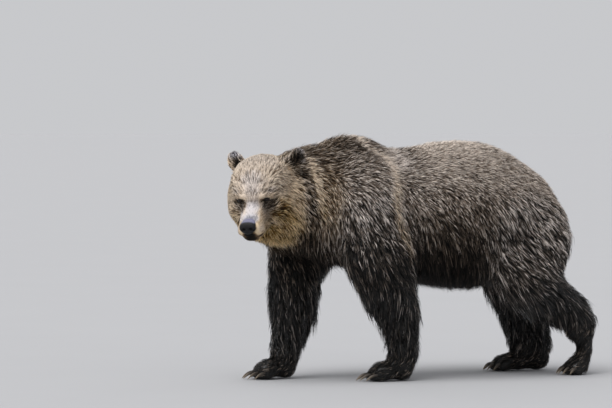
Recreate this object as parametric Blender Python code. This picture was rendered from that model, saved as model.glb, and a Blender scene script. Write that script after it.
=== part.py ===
"""A grizzly bear at life size, walking, with its head turned to its left.

The bear faces -Y, its left side is +X and the floor is Z = 0. All sizes are in metres
and reach out to the tips of the coat. Muscle masses and lofted forms are fused into one
body, which thin cuts then part into the pieces that a person would name.
"""

import math
from collections import namedtuple

import bmesh
import bpy
from mathutils import Matrix, Vector

# ---------------------------------------------------------------- driving dimensions

CUT = 0.0006  # width of the gaps between the pieces
FLOOR_TRIM = 0.004  # how deep the soles are pressed flat

BODY_VOXEL = 0.012
HEAD_VOXEL = 0.006
PAW_VOXEL = 0.0045
BODY_TRIANGLES = 1960
HEAD_TRIANGLES = 1100
PAW_TRIANGLES = 216
EASING = 6  # rounds of smoothing after the forms are fused
EASING_STRENGTH = 0.5
WELD = 1e-5  # edges shorter than this are closed
CREASE = math.radians(50)  # edges sharper than this stay sharp in the shading

HEAD_PLACE = Vector((0.165, -0.876, 0.806))  # the bridge of the muzzle, between the eyes
HEAD_YAW = math.radians(53.5)  # turned to the bear's left
HEAD_PITCH = math.radians(22)  # nose down
HEAD_ROLL = math.radians(-3)  # the left ear a little higher

COLOURS = {
    "pale": (0.36, 0.29, 0.22),
    "brown": (0.12, 0.10, 0.085),
    "dark": (0.022, 0.020, 0.017),
    "nose": (0.012, 0.011, 0.011),
    "eye": (0.012, 0.006, 0.003),
    "claw": (0.10, 0.085, 0.065),
}
ROUGHNESS = {"nose": 0.4, "eye": 0.05, "claw": 0.4}
FUR_ROUGHNESS = 0.8

Section = namedtuple("Section", "along top bottom half_width")
Joint = namedtuple("Joint", "x y z fore_aft across")
Mass = namedtuple("Mass", "centre radii lean")

# The trunk from the chest to the rump: sections along Y, each with its top and its
# bottom over the floor and half its width.
TRUNK = (
    Section(-0.660, 0.900, 0.660, 0.100),
    Section(-0.600, 0.985, 0.585, 0.165),
    Section(-0.480, 1.045, 0.530, 0.220),
    Section(-0.300, 1.062, 0.500, 0.260),
    Section(-0.110, 1.044, 0.450, 0.288),
    Section(0.100, 1.078, 0.412, 0.320),
    Section(0.300, 1.068, 0.415, 0.322),
    Section(0.460, 0.998, 0.470, 0.285),
    Section(0.580, 0.898, 0.530, 0.225),
    Section(0.675, 0.790, 0.600, 0.130),
)

# The neck runs from between the shoulders to the back of the turned head.
NECK = (
    Joint(0.000, -0.380, 0.815, 0.250, 0.200),
    Joint(0.000, -0.540, 0.815, 0.250, 0.200),
    Joint(0.020, -0.680, 0.792, 0.220, 0.176),
    Joint(0.052, -0.770, 0.788, 0.190, 0.166),
    Joint(0.090, -0.815, 0.790, 0.155, 0.150),
)

# Muscle masses: a centre, three radii and a lean about X in degrees. The hump and the
# shoulder blades carry the high withers of the species.
TRUNK_MASSES = {
    "hump": Mass((0.000, -0.355, 0.920), (0.168, 0.238, 0.186), -4),
    "shoulder_left": Mass((0.165, -0.320, 0.765), (0.128, 0.195, 0.250), 12),
    "shoulder_right": Mass((-0.165, -0.425, 0.762), (0.128, 0.190, 0.246), -4),
    "upper_arm_left": Mass((0.190, -0.270, 0.570), (0.108, 0.150, 0.170), 25),
    "upper_arm_right": Mass((-0.190, -0.500, 0.580), (0.108, 0.150, 0.170), -6),
    "thigh_left": Mass((0.190, 0.465, 0.600), (0.122, 0.190, 0.250), -12),
    "thigh_right": Mass((-0.185, 0.500, 0.580), (0.122, 0.175, 0.250), 0),
    "rump": Mass((0.000, 0.430, 0.770), (0.240, 0.225, 0.200), 0),
}

# Each leg runs from inside the trunk down to its paw.
LEGS = {
    "front_left": (
        Joint(0.170, -0.360, 0.740, 0.100, 0.070),
        Joint(0.192, -0.322, 0.580, 0.158, 0.104),
        Joint(0.192, -0.258, 0.438, 0.144, 0.098),
        Joint(0.186, -0.230, 0.380, 0.136, 0.094),
        Joint(0.178, -0.195, 0.304, 0.113, 0.086),
        Joint(0.170, -0.175, 0.238, 0.094, 0.078),
        Joint(0.163, -0.165, 0.160, 0.077, 0.070),
        Joint(0.160, -0.170, 0.095, 0.068, 0.064),
        Joint(0.160, -0.180, 0.045, 0.066, 0.062),
    ),
    "front_right": (
        Joint(-0.170, -0.480, 0.740, 0.100, 0.070),
        Joint(-0.192, -0.520, 0.600, 0.148, 0.104),
        Joint(-0.188, -0.540, 0.480, 0.138, 0.098),
        Joint(-0.180, -0.555, 0.338, 0.124, 0.088),
        Joint(-0.172, -0.568, 0.260, 0.112, 0.080),
        Joint(-0.165, -0.588, 0.200, 0.092, 0.074),
        Joint(-0.160, -0.604, 0.145, 0.073, 0.068),
        Joint(-0.158, -0.610, 0.095, 0.066, 0.064),
        Joint(-0.158, -0.616, 0.045, 0.066, 0.062),
    ),
    "hind_left": (
        Joint(0.160, 0.450, 0.740, 0.120, 0.070),
        Joint(0.186, 0.440, 0.600, 0.190, 0.115),
        Joint(0.185, 0.420, 0.480, 0.160, 0.112),
        Joint(0.174, 0.520, 0.388, 0.118, 0.094),
        Joint(0.160, 0.630, 0.330, 0.096, 0.078),
        Joint(0.152, 0.710, 0.275, 0.086, 0.066),
        Joint(0.150, 0.730, 0.205, 0.078, 0.057),
        Joint(0.150, 0.752, 0.145, 0.042, 0.053),
        Joint(0.150, 0.750, 0.100, 0.034, 0.052),
        Joint(0.150, 0.738, 0.045, 0.034, 0.054),
    ),
    "hind_right": (
        Joint(-0.160, 0.480, 0.740, 0.120, 0.070),
        Joint(-0.185, 0.510, 0.600, 0.190, 0.115),
        Joint(-0.182, 0.535, 0.450, 0.156, 0.106),
        Joint(-0.175, 0.574, 0.340, 0.132, 0.094),
        Joint(-0.166, 0.605, 0.240, 0.122, 0.084),
        Joint(-0.160, 0.622, 0.168, 0.114, 0.076),
        Joint(-0.158, 0.630, 0.100, 0.100, 0.070),
        Joint(-0.158, 0.630, 0.050, 0.084, 0.064),
    ),
}

TAIL = (
    Joint(0.000, 0.600, 0.760, 0.050, 0.048),
    Joint(0.000, 0.668, 0.715, 0.042, 0.044),
    Joint(0.000, 0.706, 0.660, 0.034, 0.038),
    Joint(0.000, 0.716, 0.605, 0.024, 0.028),
    Joint(0.000, 0.712, 0.565, 0.008, 0.010),
)

TAIL_MIDDLE = (0.000, 0.748, 0.640)  # the box that parts the tail from the rump
TAIL_BOX = (0.052, 0.070, 0.100)
TAIL_LEAN = math.radians(12)

# Paws in axes of their own: toes towards -Y, the ankle over the origin.
SOLES = {
    "front": (
        Mass((0.0, 0.010, 0.045), (0.062, 0.062, 0.046), 0),
        Mass((0.0, -0.070, 0.046), (0.074, 0.070, 0.045), 0),
    ),
    "hind": (
        Mass((0.0, 0.030, 0.046), (0.054, 0.066, 0.048), 0),
        Mass((0.0, -0.060, 0.046), (0.060, 0.090, 0.046), 0),
        Mass((0.0, -0.130, 0.040), (0.070, 0.058, 0.041), 0),
    ),
    "tiptoe": (
        Mass((0.0, -0.010, 0.048), (0.064, 0.046, 0.050), 0),
        Mass((0.0, -0.044, 0.036), (0.068, 0.044, 0.038), 0),
    ),
}
TOE_LINE = {"front": -0.125, "hind": -0.180, "tiptoe": -0.070}  # the middle toe's knuckle
TOES = 5
TOE_SPACING = 0.028
TOE_SETBACK = 0.007  # how much further back each toe is, times its steps from the middle
TOE_RADII = (0.0165, 0.036, 0.024)
CLAW_LENGTH = {"front": 0.062, "hind": 0.040, "tiptoe": 0.040}
CLAW_RADIUS = 0.0062
CLAW_FLATTENING = 0.8  # its width, as a share of its height
CLAW_TAPER = 0.78  # what the tip has lost of the root's radius
CLAW_TAPER_POWER = 1.4
CLAW_ROOT = (0.55, 0.006)  # share of the toe's length, and height over the knuckle
CLAW_ARCH = 0.10  # how much it rises, as a share of its length
CLAW_CURL = 0.12  # how much shorter the curve leaves it
CLAW_TIP_HEIGHT = 0.005
CLAW_SIDES = 5
CLAW_STEPS = 3
PAW_ANKLE = 0.09  # how far up its leg the paw is fused, over the ankle's cut

PAWS = {
    # leg: (kind, x, y, turn outwards in degrees)
    "front_left": ("front", 0.160, -0.184, -7),
    "front_right": ("front", -0.158, -0.622, 7),
    "hind_left": ("tiptoe", 0.150, 0.734, 6),
    "hind_right": ("hind", -0.158, 0.630, -6),
}

# The muzzle and the lower jaw, in the head's own axes: sections along -Y.
MUZZLE = (
    Section(0.060, 0.060, -0.105, 0.084),
    Section(0.000, 0.038, -0.100, 0.072),
    Section(-0.060, 0.004, -0.100, 0.062),
    Section(-0.110, -0.019, -0.100, 0.057),
    Section(-0.142, -0.027, -0.098, 0.052),
    Section(-0.160, -0.036, -0.090, 0.040),
)
JAW = (
    Section(0.090, -0.060, -0.142, 0.074),
    Section(0.010, -0.080, -0.138, 0.058),
    Section(-0.070, -0.085, -0.135, 0.048),
    Section(-0.115, -0.088, -0.135, 0.043),
    Section(-0.141, -0.092, -0.127, 0.032),
)
HEAD_MASSES = {
    "cranium": Mass((0.0, 0.125, 0.042), (0.138, 0.160, 0.122), 0),
    "forehead": Mass((0.0, 0.040, 0.040), (0.098, 0.085, 0.066), 20),
    "nape": Mass((0.0, 0.200, -0.010), (0.150, 0.130, 0.155), 0),
    "throat": Mass((0.0, 0.120, -0.110), (0.105, 0.120, 0.076), 0),
}
# Masses of the left side of the head, mirrored to the right.
PAIRED_MASSES = {
    "cheek": Mass((0.078, 0.100, -0.048), (0.080, 0.105, 0.094), 0),
    "cheekbone": Mass((0.062, 0.050, -0.025), (0.050, 0.060, 0.050), 0),
    "ruff": Mass((0.098, 0.160, -0.045), (0.078, 0.090, 0.122), 0),
    "brow": Mass((0.048, 0.006, 0.046), (0.036, 0.028, 0.018), 0),
    "lip": Mass((0.037, -0.108, -0.080), (0.027, 0.050, 0.027), 0),
}
NOSE = Mass((0.0, -0.157, -0.052), (0.040, 0.020, 0.028), 0)
EYE = Mass((0.060, -0.0105, 0.020), (0.0135, 0.0135, 0.0135), 0)
EAR = Mass((0.138, 0.243, 0.094), (0.042, 0.022, 0.060), 0)
EAR_HOLLOW = Mass((0.0, -0.026, 0.004), (0.028, 0.020, 0.042), 0)  # in the ear's axes
# How far each ear faces outwards: the left one is turned back a little.
EAR_SPLAY = {1: math.radians(40), -1: math.radians(16)}
EAR_SEAT = 0.004  # how much wider than the ear its seat in the head is
NOSTRIL = Mass((0.017, -0.176, -0.054), (0.0085, 0.010, 0.0095), 0)
MOUTH_LINE = -0.101
MOUTH_CORNER = -0.004
JAW_HALF_WIDTH = 0.074
JAW_REACH = 0.05  # how far the box that takes the jaw goes beyond the lips
JAW_DEPTH = 0.12

# What a leg takes of the body, as it rises from the floor: how far out it lies, its
# height, and how far it reaches fore and aft and across. It slants out over the shoulder
# or the haunch, so the leg keeps its own muscle.
REACHES = (
    (0.215, -0.100, 0.280, 0.200),
    (0.216, 0.250, 0.250, 0.200),
    (0.222, 0.400, 0.205, 0.195),
    (0.262, 0.520, 0.200, 0.190),
    (0.318, 0.660, 0.212, 0.180),
    (0.372, 0.800, 0.170, 0.145),
    (0.400, 0.920, 0.080, 0.070),
    (0.402, 0.950, 0.020, 0.020),
)

REACH_SCALE = {"front": 1.0, "hind": 1.18}  # the haunch is longer than the shoulder

# Where the pieces part: a point on the plane, and the way it faces.
NECK_TO_HEAD = ((-0.005, -0.745, 0.800), (0.68, -0.73, 0.0))
CHEST_TO_NECK = ((0.0, -0.560, 0.800), (0.0, -0.90, 0.43))
BARREL_TO_CHEST = ((0.0, -0.090, 0.800), (0.0, -1.0, 0.10))
RUMP_TO_BARREL = ((0.0, 0.300, 0.800), (0.0, -1.0, -0.15))
LIMB_CUTS = {
    # leg: its knee or elbow, then its ankle, each facing down the leg
    "front_left": (((0.192, -0.262, 0.440), (0.0, 0.25, -1.0)),
                   ((0.162, -0.167, 0.125), (0.0, 0.0, -1.0))),
    "front_right": (((-0.190, -0.548, 0.440), (0.0, -0.05, -1.0)),
                    ((-0.160, -0.592, 0.125), (0.0, 0.0, -1.0))),
    "hind_left": (((0.180, 0.460, 0.430), (0.0, 0.35, -0.94)),
                  ((0.152, 0.705, 0.250), (0.0, 0.0, -1.0))),
    "hind_right": (((-0.180, 0.500, 0.420), (0.0, 0.10, -1.0)),
                   ((-0.160, 0.605, 0.118), (0.0, 0.0, -1.0))),
}

TRUNK_SIDES = 28
LIMB_SIDES = 20
MASS_SIDES = 28
SMALL_MASS_SIDES = 12
NOSTRIL_SIDES = 6
STEPS_BETWEEN_SECTIONS = 4
SPINE_NARROWING = 0.14  # how much narrower the trunk is over the spine


# ---------------------------------------------------------------- curves and rings


def eased(rows, steps):
    """Catmull-Rom values between the rows, each a tuple of numbers of one length."""
    padded = [rows[0], *rows, rows[-1]]
    values = []
    for before, start, end, after in zip(padded, padded[1:], padded[2:], padded[3:]):
        for step in range(steps):
            t = step / steps
            values.append(
                tuple(
                    0.5 * (2 * p1 + (p2 - p0) * t + (2 * p0 - 5 * p1 + 4 * p2 - p3) * t**2
                           + (3 * p1 - p0 - 3 * p2 + p3) * t**3)
                    for p0, p1, p2, p3 in zip(before, start, end, after)
                )
            )
    values.append(tuple(rows[-1]))
    return values


def body_ring(section, sides):
    """A closed ring across Y, a little narrower over the spine than at the belly."""
    middle = (section.top + section.bottom) / 2
    half_height = (section.top - section.bottom) / 2
    ring = []
    for n in range(sides):
        angle = 2 * math.pi * n / sides
        across, up = math.cos(angle), math.sin(angle)
        narrowing = 1 - SPINE_NARROWING * max(up, 0) ** 2
        x = section.half_width * across * narrowing
        ring.append(Vector((x, section.along, middle + half_height * up)))
    return ring


def limb_rings(joints, sides):
    """Rings square to a limb's line, wide across X and deep along its fore-and-aft side."""
    rows = [Joint(*row) for row in eased(joints, STEPS_BETWEEN_SECTIONS)]
    places = [Vector(row[:3]) for row in rows]
    rings = []
    for n, (row, place) in enumerate(zip(rows, places)):
        line = places[min(n + 1, len(places) - 1)] - places[max(n - 1, 0)]
        line.normalize()
        fore = line.cross(Vector((1, 0, 0))).normalized()
        side = fore.cross(line).normalized()
        rings.append([
            place
            + side * row.across * math.cos(2 * math.pi * k / sides)
            + fore * row.fore_aft * math.sin(2 * math.pi * k / sides)
            for k in range(sides)
        ])
    return rings


def level_ring(joint, sides):
    """An upright limb's ring, level with the floor."""
    return [
        Vector((
            joint.x + joint.across * math.cos(2 * math.pi * k / sides),
            joint.y + joint.fore_aft * math.sin(2 * math.pi * k / sides),
            joint.z,
        ))
        for k in range(sides)
    ]


# ---------------------------------------------------------------- building forms


def add_loft(bm, rings, place=Matrix()):
    """Skins the rings into one closed form with flat ends."""
    loops = [[bm.verts.new(place @ point) for point in ring] for ring in rings]
    for lower, upper in zip(loops, loops[1:]):
        for k in range(len(lower)):
            after = (k + 1) % len(lower)
            bm.faces.new((lower[k], lower[after], upper[after], upper[k]))
    bm.faces.new(loops[0])
    bm.faces.new(loops[-1])


def add_mass(bm, mass, place=Matrix(), side=1, segments=MASS_SIDES):
    """Adds an ellipsoid; side -1 gives the mirrored one of a pair."""
    x, y, z = mass.centre
    shift = Matrix.Translation((side * x, y, z))
    turn = Matrix.Rotation(math.radians(mass.lean), 4, "X")
    stretch = Matrix.Diagonal((*mass.radii, 1))
    bmesh.ops.create_uvsphere(
        bm,
        u_segments=segments,
        v_segments=segments // 2,
        radius=1,
        matrix=place @ shift @ turn @ stretch,
    )


def new_object(name, bm):
    """Makes an object of the forms in bm, with its faces pointing out."""
    bmesh.ops.recalc_face_normals(bm, faces=bm.faces)
    mesh = bpy.data.meshes.new(name)
    bm.to_mesh(mesh)
    bm.free()
    made = bpy.data.objects.new(name, mesh)
    bpy.context.scene.collection.objects.link(made)
    return made


def settle(thing):
    """Replaces an object's mesh with what its modifiers make of it."""
    graph = bpy.context.evaluated_depsgraph_get()
    mesh = bpy.data.meshes.new_from_object(thing.evaluated_get(graph))
    thing.modifiers.clear()
    thing.data = mesh


def fuse(thing, voxel, triangles):
    """Fuses overlapping forms into one skin, eases the creases and thins the faces."""
    remesh = thing.modifiers.new("Fuse", "REMESH")
    remesh.mode = "VOXEL"
    remesh.voxel_size = voxel
    smooth = thing.modifiers.new("Ease", "SMOOTH")
    smooth.factor = EASING_STRENGTH
    smooth.iterations = EASING
    settle(thing)
    thin = thing.modifiers.new("Thin", "DECIMATE")
    thin.ratio = triangles / len(thing.data.loop_triangles)
    thin.use_collapse_triangulate = True
    settle(thing)


# ---------------------------------------------------------------- parting a body


def piece_from(name, bm):
    """Makes a named piece of bm and welds what a cut has left doubled."""
    bmesh.ops.dissolve_degenerate(bm, edges=bm.edges, dist=WELD)
    return new_object(name, bm)


def half(thing, name, point, normal):
    """The side of a body that normal points to, closed with a flat face."""
    bm = bmesh.new()
    bm.from_mesh(thing.data)
    normal = Vector(normal).normalized()
    bmesh.ops.bisect_plane(
        bm,
        geom=[*bm.verts, *bm.edges, *bm.faces],
        plane_co=Vector(point) + normal * CUT / 2,
        plane_no=normal,
        clear_inner=True,
    )
    rim = [edge for edge in bm.edges if edge.is_boundary]
    bmesh.ops.triangle_fill(bm, edges=rim, use_beauty=True, normal=-normal)
    return piece_from(name, bm)


def part_at(thing, names, point, normal):
    """Parts a body in two at a plane: the piece in front of it, then the one behind."""
    front = half(thing, names[0], point, normal)
    back = half(thing, names[1], point, -Vector(normal))
    bpy.data.objects.remove(thing)
    return front, back


def boolean(thing, cutter, operation):
    """Takes the cutter out of the thing, or keeps only what the two share."""
    modifier = thing.modifiers.new("Carve", "BOOLEAN")
    modifier.operation = operation
    modifier.object = cutter
    settle(thing)


def take(thing, name, region, wider):
    """Moves what lies in a region out of a body into a piece of its own."""
    taken = thing.copy()
    taken.name = name
    bpy.context.scene.collection.objects.link(taken)
    boolean(taken, region, "INTERSECT")
    boolean(thing, wider, "DIFFERENCE")
    bpy.data.objects.remove(region)
    bpy.data.objects.remove(wider)
    return taken


# ---------------------------------------------------------------- the body and the legs


def head_place():
    """The head's own axes in the world: it looks along -Y, turned and tipped."""
    turn = Matrix.Rotation(HEAD_YAW, 4, "Z") @ Matrix.Rotation(HEAD_PITCH, 4, "X")
    return Matrix.Translation(HEAD_PLACE) @ turn @ Matrix.Rotation(HEAD_ROLL, 4, "Y")


def add_back_of_head(bm):
    """The masses that carry the line of the neck on into the head."""
    for mass in HEAD_MASSES.values():
        add_mass(bm, mass, head_place())
    for side in (1, -1):
        add_mass(bm, PAIRED_MASSES["ruff"], head_place(), side)


def make_body():
    """The trunk, neck, tail and legs, fused into one body."""
    bm = bmesh.new()
    sections = [Section(*row) for row in eased(TRUNK, STEPS_BETWEEN_SECTIONS)]
    add_loft(bm, [body_ring(section, TRUNK_SIDES) for section in sections])
    for mass in TRUNK_MASSES.values():
        add_mass(bm, mass)
    for joints in (NECK, TAIL, *LEGS.values()):
        add_loft(bm, limb_rings(joints, LIMB_SIDES))
    add_back_of_head(bm)
    body = new_object("body", bm)
    fuse(body, BODY_VOXEL, BODY_TRIANGLES)
    return body


def depth_of_leg(joints, height):
    """Where a leg's line lies along Y at a height; above its top it goes straight up."""
    rows = sorted(joints, key=lambda joint: joint.z)
    for lower, upper in zip(rows, rows[1:]):
        if lower.z <= height <= upper.z:
            share = (height - lower.z) / (upper.z - lower.z)
            return lower.y + share * (upper.y - lower.y)
    return rows[0].y if height < rows[0].z else rows[-1].y


def leg_region(leg, growth):
    """The closed region that holds one leg, up to the crest of its shoulder or haunch."""
    kind, side_name = leg.split("_")
    side = 1 if side_name == "left" else -1
    scale = REACH_SCALE[kind]
    rows = [
        Joint(side * x, depth_of_leg(LEGS[leg], z), z, scale * fore_aft + growth, across + growth)
        for x, z, fore_aft, across in REACHES
    ]
    bm = bmesh.new()
    add_loft(bm, [level_ring(row, LIMB_SIDES) for row in rows])
    bmesh.ops.triangulate(bm, faces=bm.faces, quad_method="FIXED")
    return new_object("region", bm)


def make_leg(body, leg):
    """Takes a leg out of the body and parts it at its elbow or knee and its ankle."""
    whole = take(body, leg, leg_region(leg, 0), leg_region(leg, CUT))
    (knee, knee_way), (ankle, ankle_way) = LIMB_CUTS[leg]
    kind, side = leg.split("_")
    names = (f"{kind}_leg_lower_{side}", f"{kind}_leg_upper_{side}")
    lower, upper = part_at(whole, names, knee, knee_way)
    shank = half(lower, names[0], ankle, -Vector(ankle_way))
    bpy.data.objects.remove(lower)
    shank.name = names[0]
    return upper, shank


def make_torso(body):
    """Parts what is left of the body into the neck, chest, barrel, rump and tail."""
    point, way = NECK_TO_HEAD
    headless = half(body, "headless", point, -Vector(way))
    bpy.data.objects.remove(body)
    neck, rest = part_at(headless, ("neck", "rest"), *CHEST_TO_NECK)
    chest, rest = part_at(rest, ("chest", "rest"), *BARREL_TO_CHEST)
    barrel, rest = part_at(rest, ("barrel", "rest"), *RUMP_TO_BARREL)
    rest.name = "rump"
    tail = take(rest, "tail", tail_region(0), tail_region(CUT))
    return neck, chest, barrel, rest, tail


def tail_region(growth):
    """A box that holds the tail, behind the rump."""
    bm = bmesh.new()
    size = [2 * (half_size + growth) for half_size in TAIL_BOX]
    turn = Matrix.Rotation(TAIL_LEAN, 4, "X")
    place = Matrix.Translation(TAIL_MIDDLE) @ turn @ Matrix.Diagonal((*size, 1))
    bmesh.ops.create_cube(bm, size=1, matrix=place)
    return new_object("region", bm)


# ---------------------------------------------------------------- paws and claws


def paw_place(leg):
    """Which kind of paw a leg has, and the paw's own axes in the world."""
    kind, x, y, turn = PAWS[leg]
    return kind, Matrix.Translation((x, y, 0)) @ Matrix.Rotation(math.radians(turn), 4, "Z")


def toe_places(kind):
    """The knuckle of each toe, the outer ones set back the most."""
    for n in range(TOES):
        step = n - (TOES - 1) / 2
        yield Vector((
            step * TOE_SPACING,
            TOE_LINE[kind] + TOE_SETBACK * step**2,
            TOE_RADII[2] - FLOOR_TRIM / 2,
        ))


def claw_rings(kind, knuckle, growth):
    """A claw curves forwards and down from a toe, round in section and tapering."""
    length = CLAW_LENGTH[kind]
    arch = CLAW_ARCH * length
    start = knuckle + Vector((0, -TOE_RADII[1] * CLAW_ROOT[0], CLAW_ROOT[1]))
    rings = []
    for n in range(CLAW_STEPS + 1):
        t = n / CLAW_STEPS
        drop = arch * t - (start.z - CLAW_TIP_HEIGHT + arch) * t**2
        middle = start + Vector((0, -length * t * (1 - CLAW_CURL * t), drop))
        radius = CLAW_RADIUS * (1 - CLAW_TAPER * t**CLAW_TAPER_POWER) + growth
        rings.append([
            middle + Vector((
                CLAW_FLATTENING * radius * math.cos(2 * math.pi * k / CLAW_SIDES),
                0,
                radius * math.sin(2 * math.pi * k / CLAW_SIDES),
            ))
            for k in range(CLAW_SIDES)
        ])
    return rings


def make_paw(leg):
    """A paw with its five toes, flat where it meets the floor, and its claws."""
    kind, place = paw_place(leg)
    ankle, way = LIMB_CUTS[leg][1]
    bm = bmesh.new()
    rings = limb_rings(LEGS[leg], LIMB_SIDES)
    add_loft(bm, [ring for ring in rings if ring[0].z < ankle[2] + PAW_ANKLE])
    for mass in SOLES[kind]:
        add_mass(bm, mass, place)
    for knuckle in toe_places(kind):
        add_mass(bm, Mass(knuckle, TOE_RADII, 0), place)
    whole = new_object("paw", bm)
    fuse(whole, PAW_VOXEL, PAW_TRIANGLES)

    front, side = leg.split("_")
    trimmed = half(whole, "trimmed", (0, 0, 0), (0, 0, 1))
    paw = half(trimmed, f"{front}_paw_{side}", ankle, way)
    bpy.data.objects.remove(whole)
    bpy.data.objects.remove(trimmed)

    seats = bmesh.new()
    claws = []
    for number, knuckle in enumerate(toe_places(kind), 1):
        add_loft(seats, claw_rings(kind, knuckle, CUT), place)
        claw = bmesh.new()
        add_loft(claw, claw_rings(kind, knuckle, 0), place)
        claws.append(new_object(f"claw_{front}_{side}_{number}", claw))
    cutter = new_object("seats", seats)
    boolean(paw, cutter, "DIFFERENCE")
    bpy.data.objects.remove(cutter)
    return paw, claws


# ---------------------------------------------------------------- the head


def ear_place(side):
    """An ear's own axes: the head's, splayed outwards about the ear's centre."""
    x, y, z = EAR.centre
    centre = Matrix.Translation((side * x, y, z))
    return head_place() @ centre @ Matrix.Rotation(side * EAR_SPLAY[side], 4, "Z")


def ear_region(side, growth):
    """The seat of an ear: its own form, a little wider all round."""
    ear = Mass((0, 0, 0), EAR.radii, 0)
    return one_mass("region", grown(ear, EAR_SEAT + growth), place=ear_place(side))


def jaw_region(growth):
    """A box under the line of the mouth, back to the corner of the lips."""
    front = MUZZLE[-1].along - JAW_REACH
    back = MOUTH_CORNER + growth
    middle = MOUTH_LINE + growth - JAW_DEPTH / 2
    bm = bmesh.new()
    shift = Matrix.Translation((0, (front + back) / 2, middle))
    stretch = Matrix.Diagonal((2 * (JAW_HALF_WIDTH + growth), back - front, JAW_DEPTH, 1))
    bmesh.ops.create_cube(bm, size=1, matrix=head_place() @ shift @ stretch)
    return new_object("region", bm)


def grown(mass, growth):
    """The same mass with every radius made larger."""
    return Mass(mass.centre, tuple(radius + growth for radius in mass.radii), mass.lean)


def one_mass(name, mass, side=1, place=None, segments=SMALL_MASS_SIDES):
    """An object of one mass, in the head's axes unless it is given others."""
    bm = bmesh.new()
    add_mass(bm, mass, place or head_place(), side, segments)
    return new_object(name, bm)


def cut_away(thing, cutter):
    """Takes the cutter out of the thing and removes the cutter."""
    boolean(thing, cutter, "DIFFERENCE")
    bpy.data.objects.remove(cutter)


def make_head():
    """The head with its muzzle, parted from the neck, the ears and the lower jaw."""
    place = head_place()
    bm = bmesh.new()
    add_loft(bm, [body_ring(Section(*row), LIMB_SIDES)
                  for row in eased(MUZZLE, STEPS_BETWEEN_SECTIONS)], place)
    add_loft(bm, [body_ring(Section(*row), LIMB_SIDES)
                  for row in eased(JAW, STEPS_BETWEEN_SECTIONS)], place)
    for mass in HEAD_MASSES.values():
        add_mass(bm, mass, place)
    for side in (1, -1):
        for mass in PAIRED_MASSES.values():
            add_mass(bm, mass, place, side)
        add_mass(bm, Mass((0, 0, 0), EAR.radii, 0), ear_place(side))
    add_loft(bm, limb_rings(NECK[1:], LIMB_SIDES))
    whole = new_object("whole", bm)
    fuse(whole, HEAD_VOXEL, HEAD_TRIANGLES)

    head = half(whole, "head", *NECK_TO_HEAD)
    bpy.data.objects.remove(whole)
    ears = []
    for side, name in ((1, "ear_left"), (-1, "ear_right")):
        ear = take(head, name, ear_region(side, 0), ear_region(side, CUT))
        cut_away(ear, one_mass("hollow", EAR_HOLLOW, place=ear_place(side)))
        ears.append(ear)
    jaw = take(head, "lower_jaw", jaw_region(0), jaw_region(CUT))
    for side in (1, -1):
        cut_away(head, one_mass("socket", grown(EYE, CUT), side))
    cut_away(head, one_mass("seat", grown(NOSE, CUT)))
    return head, jaw, ears


def make_eyes():
    """The two eyeballs."""
    return [one_mass("eye_left", EYE, 1), one_mass("eye_right", EYE, -1)]


def make_nose():
    """The nose pad with its two nostrils."""
    nose = one_mass("nose", NOSE)
    for side in (1, -1):
        cut_away(nose, one_mass("nostril", NOSTRIL, side, segments=NOSTRIL_SIDES))
    return nose


# ---------------------------------------------------------------- finish


def finish(thing, colour):
    """Gives a piece its own material and shades it smooth where it is round."""
    material = bpy.data.materials.new(thing.name)
    material.use_nodes = True
    shader = material.node_tree.nodes["Principled BSDF"]
    shader.inputs["Base Color"].default_value = (*COLOURS[colour], 1)
    shader.inputs["Roughness"].default_value = ROUGHNESS.get(colour, FUR_ROUGHNESS)
    shader.inputs["Metallic"].default_value = 0
    thing.data.materials.clear()
    thing.data.materials.append(material)
    thing.data.shade_smooth()
    thing.data.set_sharp_from_angle(angle=CREASE)


def centre_over_floor(things):
    """Moves the pieces so that the origin is under the middle of the whole bear."""
    points = [vert.co for thing in things for vert in thing.data.vertices]
    middle_x = (min(p.x for p in points) + max(p.x for p in points)) / 2
    middle_y = (min(p.y for p in points) + max(p.y for p in points)) / 2
    for thing in things:
        thing.data.transform(Matrix.Translation((-middle_x, -middle_y, 0)))


def main():
    """Makes every piece of the bear, finishes it and stands the bear over the origin."""
    for thing in list(bpy.data.objects):
        bpy.data.objects.remove(thing)

    body = make_body()
    pieces = []
    for leg in LEGS:
        upper, lower = make_leg(body, leg)
        paw, claws = make_paw(leg)
        pieces += [(upper, "brown"), (lower, "dark"), (paw, "dark")]
        pieces += [(claw, "claw") for claw in claws]
    pieces += [(part, "brown") for part in make_torso(body)]
    head, jaw, ears = make_head()
    pieces += [(head, "pale"), (jaw, "pale"), *((ear, "brown") for ear in ears)]
    pieces += [(eye, "eye") for eye in make_eyes()]
    pieces.append((make_nose(), "nose"))

    for thing, colour in pieces:
        finish(thing, colour)
    centre_over_floor([thing for thing, _ in pieces])


main()
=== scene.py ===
"""A grizzly bear's looks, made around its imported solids.

One skin takes the place of every node of flesh and lies inside them by the depth of the
coat. The coat is solid tufts that follow the lie of the hair, with lids, eyes, a nose and
claws of their own. Sizes are in metres; the bear faces -Y and its left side is +X.
"""

import logging
import math
from dataclasses import dataclass, replace
from enum import Enum
from typing import Any, Callable, Iterator

import bmesh
import bpy
import numpy as np
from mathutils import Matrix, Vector
from mathutils.bvhtree import BVHTree
from mathutils.kdtree import KDTree


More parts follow.
